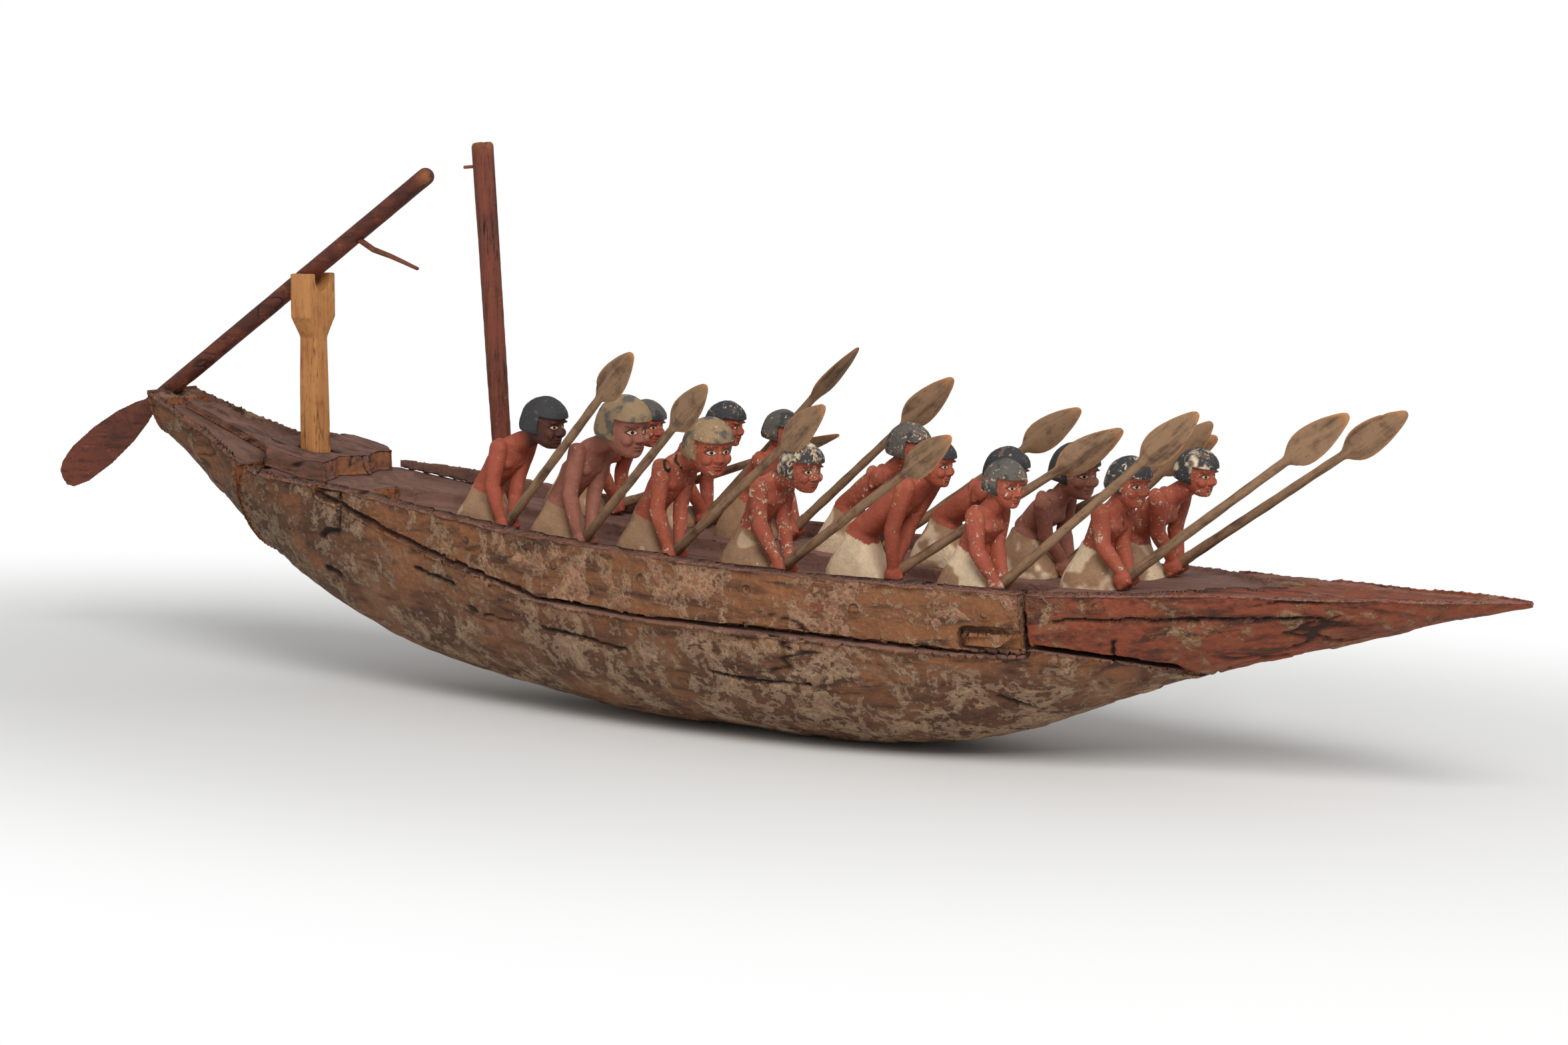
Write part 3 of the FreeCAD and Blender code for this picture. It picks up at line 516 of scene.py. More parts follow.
def hull_finish(name, bow=False):
    """Weathered wood under flaking plaster and paint. On the bow the red paint is mostly there."""
    look = looks("boat_timbers")
    f = Finish(name)
    along = f.place((0.16, 1.0, 1.0))
    x = f.axis(0)
    broad = f.grain(0.075, 5.0, 0.6, warp=0.4)
    patch = f.grain(0.022, 6.0, 0.62, warp=0.8)
    fine = f.grain(0.0045, 5.0, 0.6)
    streak = f.grain(0.010, 6.0, 0.65, along, 0.5)
    thread = f.grain(0.0022, 3.0, 0.6, f.place((0.06, 1.0, 1.0)))
    veins = f.node("ShaderNodeTexNoise", {"noise_type": "RIDGED_MULTIFRACTAL", "normalize": True}, {
        "Vector": f.place((0.7, 1.0, 1.0)), "Scale": 42.0, "Detail": 4.0, "Roughness": 0.6,
        "Distortion": 0.6})
    # How far down the side this is: 0 above the seam, 1 well below it
    low = f.step(0.004, 0.022, f.mark("seam_drop"))
    aft = f.step(-0.16, -0.42, x)

    wood = f.mix(look.ochre, look.umber, f.step(0.42, 0.68, streak))
    wood = f.mix(wood, look.bare_orange, f.step(0.55, 0.75, patch) * 0.35)
    painted = f.mix(look.bow_red, look.bow_dark, f.step(0.44, 0.66, streak))
    stain_share = f.step(0.50, 0.62, broad + (patch - 0.5) * 0.7)
    if bow:
        base = f.mix(painted, wood, f.step(0.48, 0.64, patch + (broad - 0.5) * 0.9) * 0.8)
        plaster_edge = 0.58
    else:
        toward_bow = f.step(0.05, 0.28, x)
        base = f.mix(wood, look.stain, stain_share * (toward_bow * 0.5 + 0.45))
        base = f.mix(base, look.umber, low * f.step(0.36, 0.58, broad + (fine - 0.5) * 0.3) * 0.6)
        base = f.mix(base, look.crust, low * f.step(0.44, 0.60, patch + (fine - 0.5) * 0.7) * 0.6)
        # Umber patches towards the stern: dark wood, and painted shade of the light falling off aft
        base = f.mix(base, look.umber, aft * f.step(0.36, 0.58, broad + (patch - 0.5) * 0.5) * 0.7)
        plaster_edge = 0.55
    # Plaster survives in ragged islands with a pale edge
    islands = patch * 0.45 + broad * 0.35 + fine * 0.30
    plaster = f.step(plaster_edge, plaster_edge + 0.05, islands)
    rind = plaster * (1.0 - f.step(plaster_edge + 0.02, plaster_edge + 0.06, islands))
    coat = f.mix(look.cream, look.crust, f.step(0.44, 0.6, fine))
    base = f.mix(base, coat, plaster * (0.30 if bow else 0.38))
    base = f.mix(base, look.cream, rind * (0.45 if bow else 0.6))
    # Fine cracks in the coat, pale along their lips
    split = f.step(0.70, 0.86, veins + (fine - 0.5) * 0.2) * f.step(0.44, 0.6, broad)
    base = f.mix(base, look.cream, split * (0.2 if bow else 0.5))
    hair = f.step(0.64, 0.74, thread) * f.step(0.45, 0.6, streak)
    base = f.mix(base, look.gap, hair * 0.55)
    # The rim, the deck inside, the bare ends and the deep cracks
    # The deck inside takes painted shadow along its grain streaks
    deck = f.mix(look.deck, look.deck_painted_shadow, f.step(0.42, 0.66, streak) * 0.45)
    base = f.mix(base, look.rim, f.mark("rim") * f.step(0.34, 0.5, patch + (fine - 0.5) * 0.4) * 0.85)
    base = f.mix(base, deck, f.mark("inside"))
    ends = f.mix(look.bare_orange, look.umber, f.step(0.46, 0.66, fine * 0.5 + streak * 0.5))
    base = f.mix(base, ends, f.mark("bare"))
    base = f.mix(base, look.gap, f.mark("crack"))
    # Painted shade in the low places of the bump, outside the hold
    painted_hollow_shade = f.step(0.62, 0.36, fine * 0.45 + patch * 0.35 + streak * 0.2)
    outside = 1.0 - f.mark("inside")
    base = f.shade(base, f.grain(0.12, 2.0) * 0.4 - painted_hollow_shade * outside * 0.42 + 1.0)
    height = plaster * 0.5 + patch * 0.9 + fine * 1.0 + split * 0.4 - hair * 0.6 + streak * 0.6
    height = height * (outside * 0.7 + 0.3)
    rough = f.step(0.3, 0.7, patch) * 0.12 + 0.74
    return f.surface(base, rough, height, 0.0022)


def deck_finish(name):
    """The slab and the plank at the stern: dusty plum wood with bare broken edges."""
    look = looks("boat_timbers")
    f = Finish(name)
    along = f.place((0.12, 1.0, 1.0))
    streak = f.grain(0.009, 6.0, 0.65, along, 0.4)
    thread = f.grain(0.0018, 3.0, 0.6, f.place((0.05, 1.0, 1.0)))
    patch = f.grain(0.020, 5.0, 0.6, warp=0.6)
    fine = f.grain(0.0035, 4.0, 0.6)
    base = f.mix(look.deck, look.umber, f.step(0.44, 0.64, streak) * 0.7)
    base = f.mix(base, look.rim, f.step(0.5, 0.64, patch) * 0.6)
    bare = f.mix(look.bare_orange, look.ochre, f.step(0.42, 0.6, streak))
    base = f.mix(base, bare, f.mark("bare") * f.step(0.36, 0.60, patch + (fine - 0.5) * 0.5) * 0.8)
    hair = f.step(0.62, 0.74, thread)
    base = f.mix(base, look.gap, hair * 0.5)
    base = f.mix(base, look.gap, f.mark("crack"))
    base = f.shade(base, fine * 0.3 + 0.85)
    return f.surface(base, 0.82, fine * 0.5 + streak * 0.4 - hair * 0.7, 0.0007)


def peg_finish(name):
    """Small round pegs: dark end grain, in a dark ring where marked."""
    look = looks("boat_timbers")
    f = Finish(name)
    fine = f.grain(0.0012, 4.0, 0.6)
    patch = f.grain(0.006, 4.0, 0.6)
    base = f.mix(look.ochre, look.umber, f.step(0.40, 0.62, patch * 0.6 + fine * 0.4))
    base = f.mix(base, look.gap, f.mark("ring") * 0.85)
    return f.surface(base, 0.8, fine, 0.0003)


def spar_finish(name):
    """Red-brown paint rubbed thin over long dark grain."""
    look = looks("boat_spars")
    timber = looks("boat_timbers")
    f = Finish(name)
    along = f.place((1.0, 1.0, 0.08)) if name == "mast_red" else f.place((0.10, 1.0, 1.0), (0.0, 0.576, 0.0))
    streak = f.grain(0.0050, 6.0, 0.65, along, 0.5)
    thread = f.grain(0.0014, 3.0, 0.6, along)
    patch = f.grain(0.022, 6.0, 0.65, warp=0.7)
    fine = f.grain(0.0022, 4.0, 0.6)
    base = f.mix(look.red, look.dark, f.step(0.46, 0.66, streak * 0.7 + patch * 0.3))
    worn = f.step(0.60, 0.68, patch + (fine - 0.5) * 0.35)
    base = f.mix(base, timber.bare_orange, worn * 0.45)
    base = f.mix(base, timber.bare_orange, f.mark("bare") * f.step(0.38, 0.5, patch) * 0.8)
    if name == "oar_red":
        # Sooty all along, but for the tip of the blade
        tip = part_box("steering_oar")[0].x
        sooty = (1.0 - f.step(tip + 0.075, tip + 0.02, f.axis(0))) * f.step(0.62, 0.38, patch)
        base = f.mix(base, look.dark, sooty * 0.75)
    hair = f.step(0.60, 0.72, thread)
    base = f.mix(base, look.dark, hair * 0.7)
    base = f.mix(base, timber.gap, f.mark("crack"))
    base = f.shade(base, fine * 0.3 + 0.85)
    return f.surface(base, f.step(0.4, 0.7, patch) * 0.15 + 0.6,
                     streak * 0.5 + fine * 0.4 - hair * 0.6, 0.0005)


def post_finish(name):
    """Bare tan wood with orange-brown checks along the grain."""
    look = looks("boat_spars")
    timber = looks("boat_timbers")
    f = Finish(name)
    along = f.place((1.0, 1.0, 0.07))
    streak = f.grain(0.0045, 6.0, 0.65, along, 0.4)
    thread = f.grain(0.0012, 3.0, 0.6, along)
    patch = f.grain(0.018, 5.0, 0.6, warp=0.6)
    fine = f.grain(0.0020, 4.0, 0.6)
    base = f.mix(look.tan, look.orange, f.step(0.48, 0.68, streak * 0.6 + patch * 0.4))
    hair = f.step(0.60, 0.70, thread)
    base = f.mix(base, timber.umber, hair * 0.75)
    base = f.mix(base, timber.gap, f.mark("crack"))
    base = f.shade(base, fine * 0.25 + 0.88)
    return f.surface(base, 0.72, streak * 0.4 + fine * 0.4 - hair * 0.6, 0.0005)


def paddle_finish(name):
    """Grey-brown bare wood, with orange wood at the blades' edges and tips."""
    look = looks("boat_spars")
    f = Finish(name)
    along = f.node("ShaderNodeMapping",
                   values={"Vector": f.mark("along", "Vector"), "Scale": (0.12, 1.0, 1.0)})
    streak = f.grain(0.0045, 6.0, 0.6, along, 0.4)
    thread = f.grain(0.0011, 3.0, 0.6, along)
    patch = f.grain(0.014, 5.0, 0.6, warp=0.5)
    fine = f.grain(0.0018, 4.0, 0.6)
    base = f.mix(look.paddle, look.paddle_dark, f.step(0.44, 0.66, streak * 0.5 + patch * 0.5))
    base = f.mix(base, look.paddle_edge, f.mark("edge") * f.step(0.36, 0.56, patch + (fine - 0.5) * 0.4))
    hair = f.step(0.62, 0.72, thread)
    base = f.mix(base, look.paddle_dark, hair * 0.6)
    base = f.shade(base, fine * 0.26 + 0.87)
    return f.surface(base, 0.78, streak * 0.4 + fine * 0.5 - hair * 0.5, 0.0004)


# Where the eyes are on the head, in millimetres from its middle
EYE_ASIDE = 5.2
EYE_DROP = 2.3


def crew_finish(name):
    """Old paint over plaster on carved wood. The face's paint is drawn by where it is on the head."""
    look = looks("boat_crew")
    timber = looks("boat_timbers")
    f = Finish(name)
    patch = f.grain(0.011, 6.0, 0.62, warp=0.8)
    fine = f.grain(0.0022, 5.0, 0.62)
    speck = f.grain(0.0038, 6.0, 0.7, warp=1.2)
    wear = f.mark("wear")
    base = f.mark("paint", "Vector")
    base = f.shade(base, patch * 0.7 + fine * 0.5 + 0.42)
    # Wood and plaster where the paint has come off
    chips = f.step(0.655, 0.70, speck + wear * 0.13 + (patch - 0.5) * 0.3)
    base = f.mix(base, look.plaster, chips * 0.85)
    rubbed = f.step(0.60, 0.72, patch + wear * 0.08)
    base = f.mix(base, look.bare, rubbed * 0.35)
    # Eyes and brows, in millimetres on the head
    face = f.mark("face", "Vector")
    ahead, aside, height = f.axis(0, face), abs(f.axis(1, face)) - EYE_ASIDE, f.axis(2, face)
    on_face = f.step(6.5, 8.0, ahead) * f.step(-20.0, -19.0, height)
    rise = height + EYE_DROP
    eye = almond(f, aside, rise, 3.1, 1.25)
    outline = almond(f, aside - 0.4, rise, 4.2, 1.8)
    iris = 1.0 - f.step(1.0, 1.25, (aside * aside + (rise - 0.1) * (rise - 0.1)) ** 0.5)
    arch = abs(height - 2.0 + aside * aside * 0.055)
    brow = (1.0 - f.step(0.35, 0.6, arch)) * (1.0 - f.step(3.8, 4.4, abs(aside - 0.3)))
    lips = (1.0 - f.step(3.2, 4.0, abs(aside + EYE_ASIDE))) * (1.0 - f.step(1.2, 1.8, abs(height + 11.4)))
    rubbed_off = 1.0 - f.step(0.56, 0.62, patch) * 0.7
    base = f.mix(base, timber.gap, outline * on_face * rubbed_off * 0.7)
    base = f.mix(base, look.plaster, eye * on_face * 0.92)
    base = f.mix(base, timber.gap, eye * iris * on_face)
    base = f.mix(base, timber.gap, brow * on_face * rubbed_off * 0.55)
    base = f.mix(base, look.skin_dark_and_shade, lips * on_face * 0.18)
    base = f.mix(base, timber.gap, f.mark("crack"))
    return f.surface(base, patch * 0.2 + 0.6, fine * 0.6 - chips * 0.3 + patch * 0.5, 0.0009)


def almond(f, aside, rise, half_width, half_height):
    """1 inside an eye shape whose lids meet at its two corners."""
    lid = (1.0 - (aside * aside) / (half_width * half_width)) * half_height
    return f.step(-0.12, 0.12, lid - abs(rise))


# Hull

def hull_shape():
    """Stations along the hull, with the height of its rim and its half width there."""
    trees = [BVHTree.FromPolygons([v.co for v in frame["nodes"][n].data.vertices],
                                  [p.vertices for p in frame["nodes"][n].data.polygons]) for n in TIMBERS]

    def first_hit(start, direction):
        hits = [tree.ray_cast(start, direction) for tree in trees]
        return min((hit for hit in hits if hit[0]), key=lambda hit: hit[3], default=(None,))[0]

    low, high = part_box("stern_block")[0].x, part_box("bow_block")[1].x
    rows = []
    for x in np.linspace(low + 2 * MM, high - 2 * MM, 90):
        widths, rims = [], []
        for z in np.linspace(0.10, 0.20, 21):
            hit = first_hit(Vector((x, -0.3, z)), Vector((0.0, 1.0, 0.0)))
            if hit:
                widths.append(-hit.y)
        half = max(widths, default=0.004)
        for inset in (1.0, 2.0, 3.0):
            hit = first_hit(Vector((x, -(half - inset * MM), 0.5)), -UP)
            if hit:
                rims.append(hit.z)
        rows.append((x, max(rims, default=0.13), half))
    return np.array(rows).T


def seam_height():
    """Stations along the starboard strake, with the height of its lower outer edge."""
    strake = frame["nodes"]["starboard_strake"].data
    points = points_of(strake)
    rows = []
    for x in np.arange(points[:, 0].min(), points[:, 0].max(), 8 * MM):
        near = points[np.abs(points[:, 0] - x) < 9 * MM]
        if len(near):
            rows.append((x, near[:, 2].min()))
    return np.array(rows).T


# Splits in the starboard side and the bow: station and height of their points, and their width
SPLITS = [
    ([(-0.3264, 0.158), (-0.3275, 0.143), (-0.330, 0.126)], 0.0030),
    ([(-0.352, 0.120), (-0.345, 0.124), (-0.333, 0.125)], 0.0060),
    ([(-0.357, 0.093), (-0.350, 0.092), (-0.342, 0.090)], 0.0055),
    ([(0.2317, 0.0489), (0.240, 0.044), (0.2486, 0.0387)], 0.0030),
    ([(0.3155, 0.0937), (0.3135, 0.087), (0.3118, 0.0800)], 0.0026),
    ([(-0.132, 0.070), (-0.095, 0.066), (-0.052, 0.062)], 0.0026),
    ([(-0.255, 0.104), (-0.238, 0.100), (-0.216, 0.094)], 0.0030),
    ([(0.02, 0.052), (0.06, 0.049), (0.10, 0.050)], 0.0024),
    ([(0.34, 0.110), (0.40, 0.114), (0.45, 0.117)], 0.0024),
    ([(0.28, 0.108), (0.33, 0.111), (0.37, 0.110)], 0.0022),
]


# Station aft of which plaster still covers the seam on the starboard side
SEAM_OPENS = -0.25
# Station aft of which the ends of the timbers show bare wood
BARE_ENDS = -0.25


def peg_middles():
    """The middle of each strake peg's outer end."""
    points = points_of(frame["nodes"]["strake_pegs"].data)
    middles = []
    for sign in (-1, 1):
        ends = points[points[:, 1] * sign > 0.0]
        stations = np.sort(ends[:, 0])
        for group in np.split(stations, np.nonzero(np.diff(stations) > 20 * MM)[0] + 1):
            near = ends[(ends[:, 0] >= group[0]) & (ends[:, 0] <= group[-1])]
            low, high = near.min(axis=0), near.max(axis=0)
            middles.append(((low[0] + high[0]) / 2.0, sign, (low[2] + high[2]) / 2.0))
    return middles


def peg_distance(points):
    """Distance of each point, in the side view, from the nearest strake peg on its own side."""
    best = np.full(len(points), 1.0)
    for x, sign, z in peg_middles():
        away = np.hypot(points[:, 0] - x, points[:, 2] - z)
        best = np.where(points[:, 1] * sign > 0.0, np.minimum(best, away), best)
    return best


def distance_to_path(x, z, path):
    """Distance of each point from a broken line in the side view."""
    best = np.full(len(x), 1.0)
    for (x0, z0), (x1, z1) in zip(path, path[1:]):
        run_x, run_z = x1 - x0, z1 - z0
        t = np.clip(((x - x0) * run_x + (z - z0) * run_z) / (run_x ** 2 + run_z ** 2), 0.0, 1.0)
        best = np.minimum(best, np.hypot(x - x0 - t * run_x, z - z0 - t * run_z))
    return best


def weather_timber(obj, shape, seam, seed):
    """Wear a timber: lumps, plaster crust, splits and an open seam, and marks for its material."""
    look = looks("boat_timbers")
    stations, rims, halves = shape
    mesh = obj.data
    points, normals = points_of(mesh), normals_of(mesh)
    x, y, z = points.T
    outward = normals[:, 1] * np.sign(y)
    rim, half = np.interp(x, stations, rims), np.interp(x, stations, halves)
    level = normals[:, 2] > 0.6
    on_rim = z > rim - 3.0 * MM
    inner = (np.abs(y) < half - 7 * MM) & (obj.name != "patch_block_worn")
    inside = (((level & (z < rim - 2.5 * MM)) | (outward < -0.45)) & inner).astype(float)
    bare = ((np.abs(normals[:, 0]) > 0.75) & (x < BARE_ENDS)).astype(float) * (1.0 - inside)
    outside = 1.0 - np.clip(inside + bare * 0.7, 0.0, 1.0)

    lump = noise(points, 0.055, seed, 3)
    dent = noise(points, (0.030, 0.012, 0.012), seed + 7, 3)
    crust = smoothstep(0.02, 0.14, noise(points, (0.024, 0.016, 0.016), seed + 11, 3))
    crust = crust * smoothstep(-0.3, 0.1, noise(points, 0.05, seed + 17, 2))
    aft = smoothstep(-0.22, -0.42, x)
    depth = -look.lump_depth * (1.0 - lump) * (1.0 + 0.9 * aft) - 0.55 * look.lump_depth * (1.0 - dent)
    depth = depth * outside + (crust - 1.0) * look.flake_depth * outside
    depth += -0.16 * look.lump_depth * (1.0 - dent) * (1.0 - outside)
    depth -= (1.0 - noise(points, (0.010, 0.006, 0.006), seed + 37, 2)) * look.flake_depth * 0.35 * outside
    beside_peg = 1.0 - smoothstep(4.2 * MM, 7.5 * MM, peg_distance(points))
    depth += (-1.6 * MM - depth) * beside_peg

    crack = np.zeros(len(x))
    near_side = smoothstep(0.004, -0.004, y)
    wander = noise(points, 0.010, seed + 23, 2) * 1.4 * MM
    for path, width in SPLITS:
        away = np.abs(distance_to_path(x, z + wander, path))
        share = (1.0 - smoothstep(width * 0.25, width * 0.62, away)) * near_side * outside * (1.0 - beside_peg)
        crack = np.maximum(crack, share)
    ridge = np.abs(noise(points, (0.16, 0.03, 0.022), seed + 29, 3))
    open_here = smoothstep(0.1, 0.5, noise(points, 0.09, seed + 31, 2))
    crack = np.maximum(crack, (1.0 - smoothstep(0.012, 0.035, ridge)) * open_here * outside * 0.8)
    depth -= crack * look.crack_depth * 0.6

    seam_z = np.interp(x, *seam)
    above_seam = z - seam_z
    along_seam = smoothstep(seam[0][0] - 0.004, seam[0][0] + 0.004, x) * smoothstep(
        seam[0][-1] + 0.004, seam[0][-1] - 0.004, x)
    ragged = look.seam_wear * (0.45 + 1.1 * noise(points * np.array([1.0, 0.0, 0.0]), 0.018, 5, 3))
    opening = 1.6 * smoothstep(SEAM_OPENS - 0.02, SEAM_OPENS + 0.02, x) - 0.6
    ragged = np.where(y < 0.0, ragged * opening, ragged)
    lip = np.exp(-np.abs(above_seam) / (2.2 * MM)) * along_seam * outside
    shift = np.sign(above_seam + 0.01 * MM) * lip * ragged
    moved = points + normals * depth[:, None]
    moved[:, 2] += shift
    moved[:, 2] = np.maximum(moved[:, 2], 0.0)
    move_points(mesh, moved)

    rim_mark = smoothstep(4.5 * MM, 1.5 * MM, rim - z) * (1.0 - inside) * (np.abs(y) > half - 0.016)
    set_mark(obj, "inside", inside)
    set_mark(obj, "bare", bare)
    set_mark(obj, "rim", rim_mark * on_rim)
    set_mark(obj, "crack", np.clip(crack * 1.1, 0.0, 1.0))
    set_mark(obj, "seam_drop", -above_seam)


def pegs_of(node):
    """The strake pegs that pass through one timber, to close its peg holes."""
    pegs = copy_of_node("strake_pegs", "peg_fill")
    low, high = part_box(node)
    shape = bmesh.new()
    shape.from_mesh(pegs.data)
    spare = 12 * MM
    outside = [v for v in shape.verts
               if not (low.x < v.co.x < high.x and low.y - spare < v.co.y < high.y + spare)]
    bmesh.ops.delete(shape, geom=outside)
    shape.to_mesh(pegs.data)
    shape.free()
    return pegs


def timber(node, name, size, most, shape, seam, seed):
    obj = copy_of_node(node, name)
    if node in ("starboard_strake", "port_strake", "bow_block"):
        obj = join([obj, pegs_of(node)], name)
    remesh(obj, size)
    weather_timber(obj, shape, seam, seed)
    thin_out(obj, most)
    return obj


class BOAT_OT_hull(bpy.types.Operator):
    """Weather the hull's timbers, each as its own piece"""
    bl_idname = "boat.hull"
    bl_label = "Hull timbers"

    def execute(self, context):
        look = looks("boat_timbers")
        shape, seam = hull_shape(), seam_height()
        plaster, red = hull_finish("plastered_timber"), hull_finish("red_bow_timber", bow=True)
        rows = (("hull_log", look.mesh_size, 190000, 3), ("starboard_strake", look.mesh_size, 80000, 41),
                ("port_strake", look.mesh_size, 80000, 83), ("stern_block", look.mesh_size, 80000, 127),
                ("bow_block", look.mesh_size, 110000, 167), ("patch_block", look.fine_mesh_size, 12000, 211))
        for node, size, most, seed in rows:
            piece = timber(node, node + "_worn", size, most, shape, seam, seed)
            if node == "bow_block":
                dress(piece, red, "boat", "red_bow", node)
            else:
                dress(piece, plaster, "boat", "plastered_hull", node)
        return {"FINISHED"}


class BOAT_OT_deck(bpy.types.Operator):
    """Break and split the slab and the plank at the stern"""
    bl_idname = "boat.deck"
    bl_label = "Afterdeck and stern plank"

    def execute(self, context):
        look = looks("boat_timbers")
        finish = deck_finish("dusty_deck_wood")
        for node, seed in (("afterdeck", 5), ("stern_plank", 9)):
            piece = copy_of_node(node, node + "_worn")
            remesh(piece, look.fine_mesh_size)
            mesh = piece.data
            points, normals = points_of(mesh), normals_of(mesh)
            low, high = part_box(node)
            edge = smoothstep(0.35, 0.75, np.abs(normals[:, 0]) + 0.5 * np.abs(normals[:, 1]))
            dent = noise(points, (0.024, 0.008, 0.008), seed, 3)
            chip = noise(points, 0.006, seed + 3, 2)
            depth = -0.9 * MM * (1.0 - dent) - edge * 1.2 * MM * (1.0 - chip)
            ridge = np.abs(noise(points, (0.12, 0.013, 0.05), seed + 5, 2))
            crack = (1.0 - smoothstep(0.02, 0.06, ridge)) * smoothstep(-0.2, 0.3, dent)
            depth -= crack * 1.6 * MM
            moved = points + normals * depth[:, None]
            floor = normals[:, 2] < -0.5
            moved[floor] = points[floor]
            move_points(mesh, moved)
            set_mark(piece, "bare", np.clip(edge, 0.0, 1.0))
            set_mark(piece, "crack", crack * 0.9)
            dress(piece, finish, "boat", "deck_wood", node)
        return {"FINISHED"}


PEG_RADIUS = 3.1 * MM
# Rings of a peg's visible end: reach as a share of the peg's radius, and rise in millimetres
PEG_CAP_RINGS = [(1.22, -2.0), (1.20, 0.42), (1.06, 0.30), (1.0, 0.62), (0.7, 0.70), (0.3, 0.74)]


def peg_cap(centre, outward):
    """The visible end of a peg: a slightly domed disc in a thin dark ring."""
    side = outward.orthogonal().normalized() * PEG_RADIUS
    front = outward.cross(side)
    return loft("peg_cap", [oval(centre + outward * (rise * MM), side * reach, front * reach, points=32)
                            for reach, rise in PEG_CAP_RINGS])


class BOAT_OT_pegs(bpy.types.Operator):
    """Set the pegs and dowels into the worn timbers"""
    bl_idname = "boat.pegs"
    bl_label = "Pegs and dowels"

    def execute(self, context):
        finish = peg_finish("peg_end_grain")
        self.cap_strake_pegs(finish)
        for node in ("stern_dowels", "bow_dowels", "figure_pegs"):
            piece = copy_of_node(node, node + "_worn")
            apply_modifier(piece, "BEVEL", width=0.4 * MM, segments=2, limit_method="ANGLE")
            shade_smooth(40.0)
            set_mark(piece, "ring", np.zeros(len(piece.data.vertices)))
            dress(piece, finish, "boat", "peg_wood", node)
        return {"FINISHED"}

    def cap_strake_pegs(self, finish):
        """Show each strake peg as a round end, level with the worn side around it."""
        worn = [bpy.data.objects[n + "_worn"].data for n in ("starboard_strake", "port_strake", "bow_block")]
        trees = [BVHTree.FromPolygons([v.co for v in mesh.vertices], [p.vertices for p in mesh.polygons])
                 for mesh in worn]
        caps, middles = [], []
        for x, sign, z in peg_middles():
            start, aim = Vector((x, sign * 0.3, z)), Vector((0.0, -sign, 0.0))
            around = [start + mm(5.2 * dx, 0.0, 5.2 * dz) for dx, dz in ((-1, 0), (1, 0), (0, -1), (0, 1))]
            hits = [min((h for h in (t.ray_cast(at, aim) for t in trees) if h[0]), key=lambda h: h[3])
                    for at in around]
            middle = sum((h[0] for h in hits), Vector()) / len(hits)
            facing = sum((h[1] for h in hits), Vector()).normalized()
            caps.append(peg_cap(middle, facing))
            middles.append(np.array(middle))
        piece = join(caps, "strake_pegs_worn")
        shade_smooth(40.0)
        away = np.min([np.linalg.norm(points_of(piece.data) - m, axis=1) for m in middles], axis=0)
        set_mark(piece, "ring", smoothstep(PEG_RADIUS - 0.05 * MM, PEG_RADIUS + 0.15 * MM, away))
        dress(piece, finish, "boat", "peg_wood", "strake_pegs")


# Spars

def wear_spar(obj, seed, along, depth, crack_along):
    """Uneven carving, rubbed edges and checks that follow the grain."""
    mesh = obj.data
    points, normals = points_of(mesh), normals_of(mesh)
    dent = noise(points, along, seed, 3)
    ridge = np.abs(noise(points, crack_along, seed + 5, 2))
    crack = (1.0 - smoothstep(0.015, 0.05, ridge)) * smoothstep(0.0, 0.4, noise(points, 0.05, seed + 9, 2))
    push = -depth * (1.0 - dent) * 0.8 - crack * 1.0 * MM
    move_points(mesh, points + normals * push[:, None])
    set_mark(obj, "crack", crack * 0.9)
    return points, normals


def carved(node, size):
    """A copy of a spar with one even skin and rounded edges."""
    piece = copy_of_node(node, node + "_carved")
    remesh(piece, size)
    relax(piece, 0.5, 3)
    return piece


class BOAT_OT_mast(bpy.types.Operator):
    """Carve the mast with its two-lobed head, and its pin"""
    bl_idname = "boat.mast"
    bl_label = "Mast"

    def execute(self, context):
        look = looks("boat_spars")
        finish = spar_finish("mast_red")
        for node, size in (("mast", look.mesh_size), ("mast_pin", 0.4 * MM)):
            piece = carved(node, size)
            points, normals = wear_spar(piece, 13, (0.012, 0.012, 0.050), look.wear_depth,
                                        (0.006, 0.006, 0.14))
            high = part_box(node)[1].z
            set_mark(piece, "bare", smoothstep(high - 0.012, high, points[:, 2]) * 0.8)
            dress(piece, finish, "lifting_mast", "dark_red_spars", node)
        return {"FINISHED"}


class BOAT_OT_steering(bpy.types.Operator):
    """Carve the steering oar, its tiller and the forked post that carries it"""
    bl_idname = "boat.steering"
    bl_label = "Steering oar and post"

    def execute(self, context):
        look = looks("boat_spars")
        finish = spar_finish("oar_red")
        for node, size in (("steering_oar", look.mesh_size), ("tiller", 0.5 * MM)):
            piece = carved(node, size)
            points, normals = wear_spar(piece, 31, (0.020, 0.010, 0.014), look.wear_depth * 0.5,
                                        (0.05, 0.005, 0.02))
            low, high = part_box(node)
            ends = smoothstep(high.x - 0.014, high.x, points[:, 0]) if node == "steering_oar" else 0.5
            set_mark(piece, "bare", ends * np.ones(len(points)))
            dress(piece, finish, "steering_gear", "dark_red_spars", node)
        piece = carved("oar_post", look.mesh_size)
        wear_spar(piece, 57, (0.010, 0.010, 0.030), look.wear_depth, (0.006, 0.006, 0.12))
        dress(piece, post_finish("post_tan"), "boat", "post_wood", "oar_post")
        return {"FINISHED"}


# Paddles

